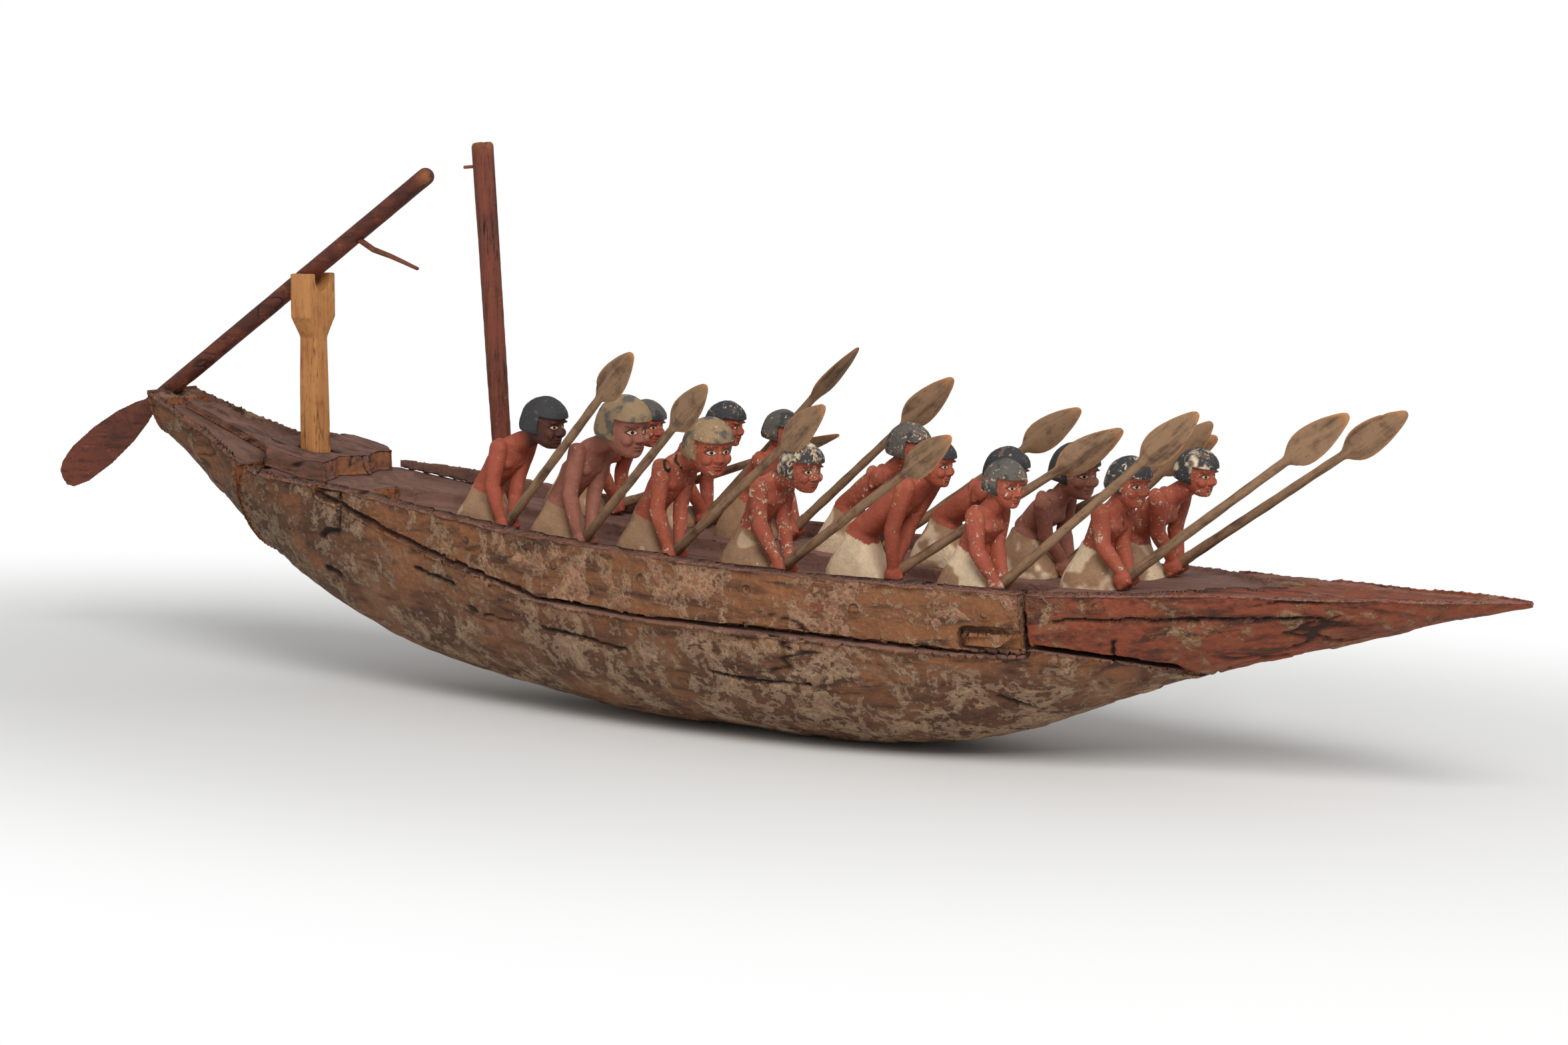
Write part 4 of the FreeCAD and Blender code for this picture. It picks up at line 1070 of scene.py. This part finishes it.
# The leaf blade from neck to tip: share of its length, half width and half thickness in millimetres
LEAF = [(-0.04, 3.3, 3.3), (0.0, 3.9, 3.4), (0.05, 6.6, 3.6), (0.12, 9.2, 3.6), (0.20, 10.9, 3.5),
        (0.30, 11.7, 3.4), (0.42, 11.5, 3.1), (0.54, 10.6, 2.8), (0.66, 9.1, 2.5), (0.77, 7.4, 2.2),
        (0.87, 5.4, 1.9), (0.94, 3.8, 1.6), (0.985, 2.5, 1.3), (1.0, 1.4, 0.8)]
BLADE_LENGTH = 52 * MM
SHAFT_RADIUS = 3.9 * MM
NECK_RADIUS = 3.3 * MM
SHAFT_BUTT = 6 * MM


def blade_ring(centre, side, front, half_width, half_thickness, points=24):
    """A ring with thin edges and a soft ridge along the middle of both faces."""
    ring = []
    for i in range(points):
        turn = 2.0 * math.pi * i / points
        across, up = math.sin(turn), math.cos(turn)
        ridge = (1.0 - abs(across)) * 0.9 + 0.18
        thick = math.copysign(min(ridge, abs(up) ** 0.5), up)
        if half_width < half_thickness * 1.3:
            thick = up
        ring.append(centre + side * (across * half_width) + front * (thick * half_thickness))
    return ring


def paddle_places(name):
    """The hand point, the direction of the shaft, the blade's facing and its reach, from the frame."""
    joint = next(j for j in frame["joints"] if j["child"] == "turning_paddle_" + name)
    hand, axis = Vector(joint["pos_m"]), Vector(joint["axis"]).normalized()
    points = points_of(frame["nodes"]["paddle_" + name].data)
    offset = points - np.array(hand)
    along = offset @ np.array(axis)
    reach = along.max()
    blade = offset[along > reach - BLADE_LENGTH * 0.75]
    flat = blade - np.outer(blade @ np.array(axis), np.array(axis))
    widest = flat[np.argmax(np.linalg.norm(flat, axis=1))]
    side = Vector(widest).normalized()
    return hand, axis, side, axis.cross(side), reach


class BOAT_OT_paddles(bpy.types.Operator):
    """Carve the fourteen leaf-bladed paddles"""
    bl_idname = "boat.paddles"
    bl_label = "Paddles"

    def execute(self, context):
        finish = paddle_finish("bare_paddle_wood")
        leaf_shares, leaf_widths, leaf_thicknesses = np.array(LEAF).T
        for seed, name in enumerate(CREW):
            hand, axis, side, front, reach = paddle_places(name)
            neck = reach - BLADE_LENGTH
            rings = []
            for i, share in enumerate(np.linspace(0.0, 1.0, 40)):
                at = -SHAFT_BUTT + share * (neck + SHAFT_BUTT - 3 * MM)
                radius = SHAFT_RADIUS + (NECK_RADIUS - SHAFT_RADIUS) * share
                if i == 0:
                    radius *= 0.8
                wobble = 0.12 * MM * math.sin(0.9 * i + seed) * (at > 14 * MM)
                rings.append(blade_ring(hand + axis * at, side, front,
                                        radius + wobble, radius - wobble * 0.5))
            for share in np.linspace(leaf_shares[0], 1.0, 26):
                rings.append(blade_ring(hand + axis * (neck + share * BLADE_LENGTH), side, front,
                                        np.interp(share, leaf_shares, leaf_widths) * MM,
                                        np.interp(share, leaf_shares, leaf_thicknesses) * MM))
            piece = loft("paddle_" + name + "_carved", rings)
            apply_modifier(piece, "SUBSURF", levels=1, render_levels=1)
            mesh = piece.data
            points, normals = points_of(mesh), normals_of(mesh)
            offset = points - np.array(hand)
            local = np.stack([offset @ np.array(v) for v in (axis, side, front)], axis=1)
            away = local[:, 0] > 14 * MM
            dent = noise(local, (0.022, 0.007, 0.007), seed * 13 + 3, 3)
            nick = smoothstep(0.35, 0.6, noise(local, 0.007, seed * 7 + 1, 2))
            nick *= np.abs(local[:, 1]) > 7 * MM
            push = (-0.32 * MM * (1.0 - dent) - 0.5 * MM * nick) * away
            move_points(mesh, points + normals * push[:, None])
            shade_smooth(50.0)
            widths = np.interp((local[:, 0] - neck) / BLADE_LENGTH, leaf_shares, leaf_widths) * MM
            on_blade = local[:, 0] > neck
            rubbed = smoothstep(-2.2 * MM, -0.4 * MM, np.abs(local[:, 1]) - widths) * on_blade
            tip = smoothstep(reach - 12 * MM, reach, local[:, 0])
            set_mark(piece, "edge", np.clip(rubbed * 0.8 + tip, 0.0, 1.0))
            set_place_mark(piece, "along", local + seed * 0.31)
            dress(piece, finish, "turning_paddle_" + name, "paddle_wood", "paddle_" + name)
        return {"FINISHED"}


# Crew

# How each paddler is painted and sits: head size, head turn in degrees to starboard, skin, hair and
# kilt paint, wear of the paint, and how many millimetres the seat is ahead of its usual place
CREW_STYLES = {
    "starboard_1": (1.02, 0.0, "skin_shaded", "wig", "kilt", 0.1, 5.0),
    "starboard_2": (1.20, 10.0, "skin_pale", "wig_tan", "kilt", 0.2, 4.0),
    "starboard_3": (1.12, 26.0, "skin", "wig_tan", "kilt", 0.5, 3.0),
    "starboard_4": (0.95, 14.0, "skin", "wig_worn", "kilt", 0.8, 0.0),
    "starboard_5": (0.90, 0.0, "skin", "wig", "kilt_cream", 0.3, 0.0),
    "starboard_6": (0.88, 14.0, "skin", "wig_grey", "kilt_half", 0.6, 6.0),
    "starboard_7": (0.92, 16.0, "skin", "wig", "kilt_half", 0.6, 6.0),
    "port_1": (0.96, 6.0, "skin", "wig_grey", "kilt", 0.4, 0.0),
    "port_2": (0.90, -8.0, "skin", "wig", "kilt", 0.4, 2.0),
    "port_3": (0.86, 0.0, "skin", "wig_grey", "kilt", 0.4, 0.0),
    "port_4": (0.95, 0.0, "skin", "wig_grey", "kilt_half", 0.6, 4.0),
    "port_5": (0.95, 0.0, "skin", "wig", "kilt_half", 0.3, 5.0),
    "port_6": (1.06, 14.0, "skin_pale", "wig", "kilt_half", 0.3, 6.0),
    "port_7": (0.88, 12.0, "skin", "wig_worn", "kilt_half", 0.6, 4.0),
}
HEAD_NOD = 12.0  # degrees that every head nods forward
# Rings of the head from chin to crown, in millimetres: height, front, back, half width, squareness
FACE_RINGS = [(-18.8, 9.0, 4.0, 3.4, 2.2), (-18.0, 11.4, 1.0, 5.6, 2.3), (-16.0, 12.6, -4.0, 7.8, 2.5),
              (-13.5, 12.8, -8.0, 9.4, 2.6), (-10.5, 12.7, -10.5, 10.5, 2.6), (-7.0, 12.7, -12.0, 11.3, 2.6),
              (-3.5, 12.4, -13.0, 11.7, 2.6), (-0.5, 12.5, -13.4, 11.8, 2.5), (2.5, 12.9, -13.4, 11.8, 2.4),
              (6.5, 12.6, -13.0, 11.4, 2.2), (10.5, 11.0, -11.0, 9.6, 2.1), (14.0, 6.6, -7.0, 6.0, 2.0)]
# Rings of the hair from its hem to the crown, in millimetres: height, front, back, half width
WIG_RINGS = [(-9.8, 6.0, -15.6, 12.4), (-9.0, 8.0, -18.2, 14.6), (-6.5, 10.5, -19.4, 15.3),
             (-3.0, 12.6, -19.6, 15.4), (1.0, 14.3, -19.2, 15.1), (5.0, 14.9, -18.2, 14.6),
             (8.5, 13.8, -16.4, 13.4), (11.5, 11.4, -13.8, 11.4), (14.2, 7.8, -10.4, 8.4),
             (16.2, 3.2, -6.4, 4.8), (17.0, 0.6, -3.6, 2.0)]
# Rings of the nose from its root to its tip, in millimetres: height, place ahead, half width, depth
NOSE_RINGS = [(1.6, 11.4, 1.4, 1.6), (-0.8, 12.0, 1.5, 2.0), (-3.2, 12.9, 1.8, 2.4),
              (-5.4, 13.7, 2.3, 2.8), (-7.0, 13.9, 2.8, 3.0), (-8.2, 12.8, 2.4, 2.2)]


def model_head():
    """The head that all fourteen share: face, nose, lips, brows and a short cap of hair.
    It stands at the origin and faces forward."""
    nose = [oval(mm(ahead - deep * 0.2, 0.0, height), mm(0.0, half, 0.0), mm(deep, 0.0, 0.0), 2.0, 16)
            for height, ahead, half, deep in NOSE_RINGS]
    parts = [loft("face", [band(*row, 28) for row in FACE_RINGS]), loft("nose", nose)]
    eggs = [((12.7, 0.0, -10.7), (1.6, 3.8, 0.9)), ((12.5, 0.0, -12.4), (1.6, 3.2, 1.0)),
            ((10.6, 0.0, -15.8), (2.6, 4.6, 2.6))]
    for s in (-1, 1):
        eggs += [((13.0, s * 2.2, -7.4), (1.6, 1.4, 1.2)), ((11.2, s * EYE_ASIDE, 1.4), (2.0, 4.2, 0.9)),
                 ((9.2, s * 6.8, -7.2), (3.8, 3.8, 3.8))]
    parts += [ball("form", mm(*centre), mm(*radii)) for centre, radii in eggs]
    parts.append(model_wig())
    head = join(parts, "head_form")
    remesh(head, looks("boat_crew").head_mesh)
    relax(head, 0.5, 3)
    sculpt_face(head)
    return head


def model_wig():
    """A bob of hair with a straight fringe, cut away in front of the ears and level at the nape."""
    wig = loft("wig", [band(*row, 2.2, 48) for row in WIG_RINGS])
    carve(wig, block("window", mm(2.6, -30.0, -40.0), mm(40.0, 30.0, 4.4)), "DIFFERENCE")
    return wig


def sculpt_face(head):
    """Press in the eye sockets and the line of the mouth, and lift the eyes."""
    mesh = head.data
    points = points_of(mesh)
    x, y, z = (points / MM).T
    front = smoothstep(6.0, 9.0, x)
    aside, rise = np.abs(y) - EYE_ASIDE, z + EYE_DROP
    socket = np.exp(-((aside / 4.0) ** 2 + ((rise - 0.3) / 2.6) ** 2) ** 1.5)
    lid = np.clip(1.0 - (aside / 3.6) ** 2, 0.0, 1.0) * 1.5
    eye = smoothstep(-0.3, 0.5, lid - np.abs(rise))
    mouth = np.exp(-((z + 11.5) / 0.45) ** 2) * smoothstep(4.2, 3.2, np.abs(y)) * smoothstep(9.0, 11.0, x)
    cheek = np.exp(-(((np.abs(y) - 4.2) / 1.0) ** 2 + ((z + 8.8) / 3.0) ** 2)) * 0.3
    push = (-1.0 * socket + 0.7 * eye - cheek) * front - 0.55 * mouth
    points[:, 0] += push * MM
    move_points(mesh, points)


def crew_places(name):
    """Where one paddler's seat, waist, shoulders, head and hands are, from the frame."""
    low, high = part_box("paddler_" + name)
    joint = next(j for j in frame["joints"] if j["child"] == "turning_paddle_" + name)
    axis = Vector(joint["axis"]).normalized()
    arms = points_of(frame["nodes"]["arms_" + name].data)
    top = arms[:, 2].max()
    upper = arms[arms[:, 2] > top - 4 * MM]
    middle = (low.y + high.y) / 2.0
    size, _, _, _, _, _, ahead = CREW_STYLES[name]
    seat = Vector((low.x + (24 + ahead) * MM, middle, low.z))
    shoulder_x = (upper[:, 0].min() + upper[:, 0].max()) / 2.0
    return {
        "seat": seat,
        "waist": seat + mm(0.0, 0.0, KILT_RINGS[-1][0]),
        "shoulder": Vector((shoulder_x, middle, top - 5.2 * MM)),
        "head": Vector((high.x - size * 16.0 * MM, middle, high.z - size * 17.4 * MM)),
        "size": size,
        "hand": Vector(joint["pos_m"]),
        "axis": axis,
        "level": Vector((-axis.y, axis.x, 0.0)).normalized(),
    }


# Rings of the kilt from the deck to the waist, in millimetres: height, front, back, half width, squareness
KILT_RINGS = [(-0.6, 22.4, -23.8, 16.4, 4.5), (3.0, 22.8, -24.2, 16.6, 4.5), (8.0, 20.6, -23.8, 16.6, 4.0),
              (14.0, 16.4, -21.2, 15.8, 3.6), (20.0, 13.0, -17.4, 14.6, 3.2), (26.0, 11.2, -13.6, 13.4, 2.8),
              (31.0, 10.6, -11.2, 12.6, 2.5), (34.0, 10.2, -10.4, 12.2, 2.3)]
# Rings of the trunk: share of the way from waist to shoulders, and in millimetres the half depth,
# the half width and the shift forward
TRUNK_RINGS = [(-0.12, 8.4, 10.6, 0.0), (0.0, 9.0, 11.4, 0.0), (0.18, 9.0, 11.8, 0.0), (0.36, 9.8, 12.8, 0.4),
               (0.54, 10.8, 14.0, 0.8), (0.70, 11.0, 14.4, 1.0), (0.86, 9.8, 14.2, 0.6), (0.98, 7.8, 13.9, 0.0),
               (1.08, 6.0, 12.0, -0.4), (1.16, 4.6, 8.0, 0.0)]


def model_body(at, broken_side):
    """Kilt, trunk and neck of one paddler. broken_side is where an arm has snapped off, or 0."""
    seat, waist, shoulder, head = at["seat"], at["waist"], at["shoulder"], at["head"]
    kilt = [band(*row, 28, seat) for row in KILT_RINGS]
    lean = shoulder - waist
    along = lean.normalized()
    across = Vector((0.0, 1.0, 0.0))
    ahead = across.cross(along)
    trunk = [oval(waist + lean * share + ahead * (shift * MM),
                  across * (half * MM), ahead * (deep * MM), 2.3, 28)
             for share, deep, half, shift in TRUNK_RINGS]
    parts = [loft("kilt", kilt), loft("trunk", trunk)]
    nape = head + mm(-2.0, 0.0, -8.0)
    throat = shoulder + along * (1.0 * MM)
    parts.append(rod("neck", throat, nape, 7.4 * MM, 6.6 * MM))
    chest = waist + lean * 0.74
    blades = waist + lean * 0.84
    for s in (-1, 1):
        parts.append(ball("breast", chest + mm(0.0, s * 6.4, 0.0) + ahead * (7.4 * MM), mm(4.4, 6.0, 5.4)))
        place = blades + mm(0.0, s * 6.6, 0.0) - ahead * (5.2 * MM)
        parts.append(ball("shoulder_blade", place, mm(4.4, 6.2, 7.0)))
    if broken_side:
        stump = shoulder + mm(0.0, broken_side * 14.6, -0.6)
        parts.append(ball("stump", stump, mm(6.4, 4.2, 6.8)))
        parts.append(ball("splinter", stump + mm(-3.4, broken_side * 1.6, -4.4), mm(2.0, 2.4, 5.0)))
    return join(parts, "body_form")


def model_arm(at, s):
    """One arm, to port (1) or starboard (-1): shoulder, upper arm, elbow, forearm and a closed hand."""
    shoulder = at["shoulder"] + mm(0.0, s * 17.9, 0.0)
    fist = at["hand"] + at["level"] * (s * 5.0 * MM)
    elbow = (shoulder + fist) * 0.5 + mm(-5.0, s * 2.0, 0.0)
    wrist = fist + mm(-0.3, s * 0.4, 4.4)
    spots = [(shoulder + mm(0.0, 0.0, 5.4), 2.6, 2.8), (shoulder + mm(0.0, 0.0, 3.6), 5.4, 4.8),
             (shoulder, 6.8, 5.9), (shoulder.lerp(elbow, 0.25), 6.7, 5.9), (shoulder.lerp(elbow, 0.5), 6.1, 5.6),
             (shoulder.lerp(elbow, 0.78), 5.5, 5.1), (elbow, 5.6, 5.1), (elbow.lerp(wrist, 0.22), 5.5, 5.0),
             (elbow.lerp(wrist, 0.5), 5.0, 4.6), (elbow.lerp(wrist, 0.8), 4.3, 4.0), (wrist, 4.1, 3.9),
             (wrist.lerp(fist, 0.6), 4.6, 4.2)]
    across = Vector((0.0, 1.0, 0.0))
    rings = []
    for i, (place, deep, wide) in enumerate(spots):
        before, after = spots[max(i - 1, 0)][0], spots[min(i + 1, len(spots) - 1)][0]
        along = (after - before).normalized()
        ahead = across.cross(along).normalized()
        rings.append(oval(place, along.cross(ahead) * (wide * MM), ahead * (deep * MM), 2.2, 18))
    parts = [loft("limb", rings)]
    turn = at["axis"].to_track_quat("X", "Z").to_matrix().to_4x4()
    parts.append(ball("fist", fist, mm(6.8, 4.9, 6.3), turn))
    knuckle_out = at["level"] * (s * 2.0 * MM)
    under = at["axis"].cross(at["level"]) * (-3.8 * MM)
    for k in range(4):
        spot = fist + knuckle_out * 0.4 + at["axis"] * ((k - 1.5) * 2.6 * MM) + under
        parts.append(ball("finger", spot, mm(1.5, 3.6, 2.4), turn, 12))
    parts.append(ball("thumb", fist - under * 1.1 + at["axis"] * (2.4 * MM), mm(3.6, 2.0, 1.8), turn, 12))
    return join(parts, "arm_form")


def head_turn(at, degrees):
    """Where the head sits: at its place, turned to starboard and nodding forward."""
    return (Matrix.Translation(at["head"]) @ Matrix.Rotation(math.radians(-degrees), 4, "Z")
            @ Matrix.Rotation(math.radians(HEAD_NOD), 4, "Y") @ Matrix.Scale(at["size"], 4))


def roughen(obj, seed, depth):
    """Uneven knife work over a carved piece."""
    mesh = obj.data
    points, normals = points_of(mesh), normals_of(mesh)
    facet = noise(points, 0.0085, seed, 2)
    dent = noise(points, 0.003, seed + 3, 2)
    push = depth * (0.75 * facet + 0.3 * dent)
    move_points(mesh, points + normals * push[:, None])


def blend(first, second, share):
    """One colour for each point: the first where its share is 0, the second where it is 1."""
    return np.array(first) * (1.0 - share) + np.array(second) * share


def paint_body(obj, name, at, place_of_head):
    """Mark what is hair, skin and kilt, and where each point is on the head."""
    look = looks("boat_crew")
    _, _, skin_name, wig_name, kilt_name, wear, _ = CREW_STYLES[name]
    points = points_of(obj.data)
    to_head = np.array(place_of_head.inverted())
    local = (points @ to_head[:3, :3].T + to_head[:3, 3]) / MM
    hx, hy, hz = local.T
    heights, fronts, backs, halves = np.array(WIG_RINGS).T
    middle = np.interp(hz, heights, (fronts + backs) / 2.0)
    half_deep = np.interp(hz, heights, (fronts - backs) / 2.0)
    shell = np.sqrt(((hx - middle) / half_deep) ** 2 + (hy / np.interp(hz, heights, halves)) ** 2)
    hair = ((shell > 0.90) | (hz > 13.0)) & (hz > -10.4) & ((hz > 3.9) | (hx < 3.0)) & (hz < 20.0)
    above = (points[:, 2] - at["seat"].z) / MM
    forward = (points[:, 0] - at["seat"].x) / MM
    belt = 31.0 - 0.45 * forward + noise(points, 0.006, 77, 2) * 1.2
    kilt = (above < belt) & (above < 36.0)
    skins = {"skin": look.skin, "skin_pale": look.skin_pale, "skin_shaded": look.skin}
    colours = np.tile(np.array(skins[skin_name]), (len(points), 1))
    # Painted shade: the skin of starboard_1 darkens towards the front, over the face and chest
    if skin_name == "skin_shaded":
        dark = smoothstep(-3.0, 6.0, hx + 12.0)[:, None] * 0.9
        colours = blend(colours, look.skin_dark_and_shade, dark)
    blot = noise(points, 0.007, 91, 3)
    wigs = {"wig": (look.wig, look.wig_grey, 0.5), "wig_grey": (look.wig_grey, look.wig, 0.1),
            "wig_tan": (look.wig_tan, look.wig_grey, 0.1), "wig_worn": (look.wig, look.plaster, 0.15)}
    first, second, edge = wigs[wig_name]
    share = smoothstep(edge - 0.1, edge + 0.25, blot)[:, None]
    colours = np.where(hair[:, None], blend(first, second, share), colours)
    edge, most = {"kilt": (0.2, 0.6), "kilt_cream": (-0.6, 1.0), "kilt_half": (-0.15, 1.0)}[kilt_name]
    share = smoothstep(edge - 0.08, edge + 0.12, noise(points, 0.016, 55, 3))[:, None] * most
    colours = np.where(kilt[:, None], blend(look.kilt, look.kilt_cream, share), colours)
    set_place_mark(obj, "paint", colours)
    set_place_mark(obj, "face", local)
    set_mark(obj, "wear", np.full(len(points), wear) * np.where(hair, 1.2, 1.0) * np.where(kilt, 0.3, 1.0))


def split_mark(obj, name):
    """Dark splits in the wood of one paddler, and a stain on the chest of another."""
    points = points_of(obj.data)
    crack = np.zeros(len(points))
    if name == "starboard_3":
        base = crew_places(name)["shoulder"]
        offset = (points - np.array(base)) / MM
        plane = offset[:, 0] * 0.62 + offset[:, 2] * 0.30 + noise(points, 0.012, 3, 2) * 1.5
        crack = 1.0 - smoothstep(0.3, 0.9, np.abs(plane - 4.0))
        crack *= (offset[:, 1] < -4.0) * (offset[:, 2] < 8.0)
    if name == "starboard_7":
        spot = crew_places(name)
        middle = spot["waist"].lerp(spot["shoulder"], 0.62)
        away = np.hypot(points[:, 1] - middle.y, points[:, 2] - middle.z) / MM
        crack = 1.0 - smoothstep(1.2, 2.6, away + noise(points, 0.004, 5, 2))
        crack *= (points[:, 0] > middle.x) * 0.8
    set_mark(obj, "crack", crack)


class BOAT_OT_crew(bpy.types.Operator):
    """Carve and paint the fourteen kneeling paddlers"""
    bl_idname = "boat.crew"
    bl_label = "Crew"

    def execute(self, context):
        look = looks("boat_crew")
        finish = crew_finish("painted_figures")
        head_form = model_head()
        for seed, name in enumerate(CREW):
            at = crew_places(name)
            side = -1 if name.startswith("starboard") else 1
            arms_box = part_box("arms_" + name)
            has_both = (arms_box[1].y - arms_box[0].y) > 30 * MM
            body = model_body(at, 0 if has_both else -side)
            remesh(body, look.body_mesh)
            relax(body, 0.5, 3)
            head = copy_of(head_form, "head_copy")
            place_of_head = head_turn(at, CREW_STYLES[name][1])
            head.data.transform(place_of_head)
            carve(body, head, "UNION")
            roughen(body, seed * 5 + 1, look.wear_depth * 0.6)
            body.name = "paddler_" + name + "_carved"
            paint_body(body, name, at, place_of_head)
            split_mark(body, name)
            shade_smooth(60.0)
            dress(body, finish, "boat", "painted_crew", "paddler_" + name)
            arms = []
            for s in (-1, 1):
                if has_both or s == side:
                    arm = model_arm(at, s)
                    remesh(arm, look.body_mesh * 0.9)
                    relax(arm, 0.5, 2)
                    arms.append(arm)
            arms = join(arms, "arms_" + name + "_carved")
            roughen(arms, seed * 5 + 2, look.wear_depth * 0.5)
            shaft = rod("bore", at["hand"] - at["axis"] * 0.02, at["hand"] + at["axis"] * 0.03,
                        SHAFT_RADIUS + 0.1 * MM, points=32)
            carve(arms, shaft, "DIFFERENCE")
            skin = look.skin_pale if CREW_STYLES[name][2] == "skin_pale" else look.skin
            colours = np.tile(np.array(skin), (len(arms.data.vertices), 1))
            set_place_mark(arms, "paint", colours)
            set_place_mark(arms, "face", np.full((len(colours), 3), -50.0))
            set_mark(arms, "wear", np.full(len(colours), CREW_STYLES[name][5]))
            split_mark(arms, name)
            shade_smooth(60.0)
            dress(arms, finish, "boat", "painted_crew", "arms_" + name)
        bpy.data.objects.remove(head_form)
        return {"FINISHED"}


# Stage

class BOAT_OT_stage(bpy.types.Operator):
    """Set up the floor, the lamps and the camera"""
    bl_idname = "boat.stage"
    bl_label = "Stage"

    def execute(self, context):
        look = looks("boat_stage")
        self.make_floor(look)
        self.make_sky(look)
        lamps = (((1.5, -1.6, 2.0), 1.4, look.key_power), ((-2.2, -1.6, 1.6), 2.0, look.fill_power),
                 ((0.4, 2.2, 1.8), 1.8, look.fill_power))
        for place, size, power in lamps:
            deselect_all()
            bpy.ops.object.light_add(type="AREA", location=place)
            lamp = bpy.context.object
            lamp.data.size = size
            lamp.data.energy = power
            aim = Vector((0.0, 0.0, 0.1)) - Vector(place)
            lamp.rotation_euler = aim.to_track_quat("-Z", "Y").to_euler()
        deselect_all()
        bpy.ops.object.camera_add(location=look.camera_place)
        camera = bpy.context.object
        aim = Vector(look.camera_aim) - Vector(look.camera_place)
        camera.rotation_euler = aim.to_track_quat("-Z", "Y").to_euler()
        camera.data.sensor_width = 36.0
        camera.data.lens = look.focal_length
        camera.data.clip_end = 100.0
        context.scene.camera = camera
        context.scene.view_settings.view_transform = "Standard"
        return {"FINISHED"}

    def make_floor(self, look):
        deselect_all()
        bpy.ops.mesh.primitive_plane_add(size=60.0)
        floor = bpy.context.object
        floor.name = "studio_floor"
        f = Finish("pale_floor")
        away = f.node("ShaderNodeVectorMath", {"operation": "LENGTH"}, {0: f.place((0.5, 1.0, 1.0))},
                      output="Value")
        seen = f.node("ShaderNodeLightPath", output="Is Camera Ray")
        glow = f.node("ShaderNodeEmission", values={"Color": (1.0, 1.0, 1.0), "Strength": 1.0})
        matt = f.node("ShaderNodeBsdfPrincipled", values={"Base Color": look.floor, "Roughness": 0.9,
                                                          "Specular IOR Level": 0.1})
        both = f.node("ShaderNodeMixShader", values={0: seen * f.step(0.30, 0.72, away), 1: matt, 2: glow})
        f.node("ShaderNodeOutputMaterial", values={"Surface": both})
        floor.data.materials.append(f.material)

    def make_sky(self, look):
        world = bpy.data.worlds.new("studio")
        bpy.context.scene.world = world
        world.use_nodes = True
        nodes, links = world.node_tree.nodes, world.node_tree.links
        nodes.clear()
        path = nodes.new("ShaderNodeLightPath")
        level = nodes.new("ShaderNodeMix")
        level.inputs[2].default_value = look.sky
        level.inputs[3].default_value = 1.0
        back = nodes.new("ShaderNodeBackground")
        back.inputs["Color"].default_value = (1.0, 1.0, 1.0, 1.0)
        out = nodes.new("ShaderNodeOutputWorld")
        links.new(path.outputs["Is Camera Ray"], level.inputs[0])
        links.new(level.outputs[0], back.inputs["Strength"])
        links.new(back.outputs[0], out.inputs[0])


class BOAT_PT_panel(bpy.types.Panel):
    """Lists the steps that make the boat"""
    bl_label = "Tomb boat"
    bl_idname = "BOAT_PT_panel"
    bl_space_type = "VIEW_3D"
    bl_region_type = "UI"
    bl_category = "Tomb boat"

    def draw(self, context):
        for group in LOOKS:
            box = self.layout.box()
            for prop in LOOKS[group].__annotations__:
                box.prop(getattr(context.scene, group), prop)
        for step in STEPS:
            self.layout.operator(step.bl_idname)


LOOKS = {"boat_timbers": TimberLooks, "boat_spars": SparLooks,
         "boat_crew": CrewLooks, "boat_stage": StageLooks}
STEPS = (BOAT_OT_hull, BOAT_OT_deck, BOAT_OT_pegs, BOAT_OT_mast, BOAT_OT_steering, BOAT_OT_paddles,
         BOAT_OT_crew, BOAT_OT_stage)


def register():
    for cls in (*LOOKS.values(), *STEPS, BOAT_PT_panel):
        bpy.utils.register_class(cls)
    for name, cls in LOOKS.items():
        setattr(bpy.types.Scene, name, PointerProperty(type=cls))


def unregister():
    for name in LOOKS:
        delattr(bpy.types.Scene, name)
    for cls in (BOAT_PT_panel, *STEPS, *LOOKS.values()):
        bpy.utils.unregister_class(cls)


def main():
    """Make every piece in order."""
    register()
    bpy.ops.boat.hull()
    bpy.ops.boat.deck()
    bpy.ops.boat.pegs()
    bpy.ops.boat.mast()
    bpy.ops.boat.steering()
    bpy.ops.boat.paddles()
    bpy.ops.boat.crew()
    bpy.ops.boat.stage()


if __name__ == "__main__":
    main()
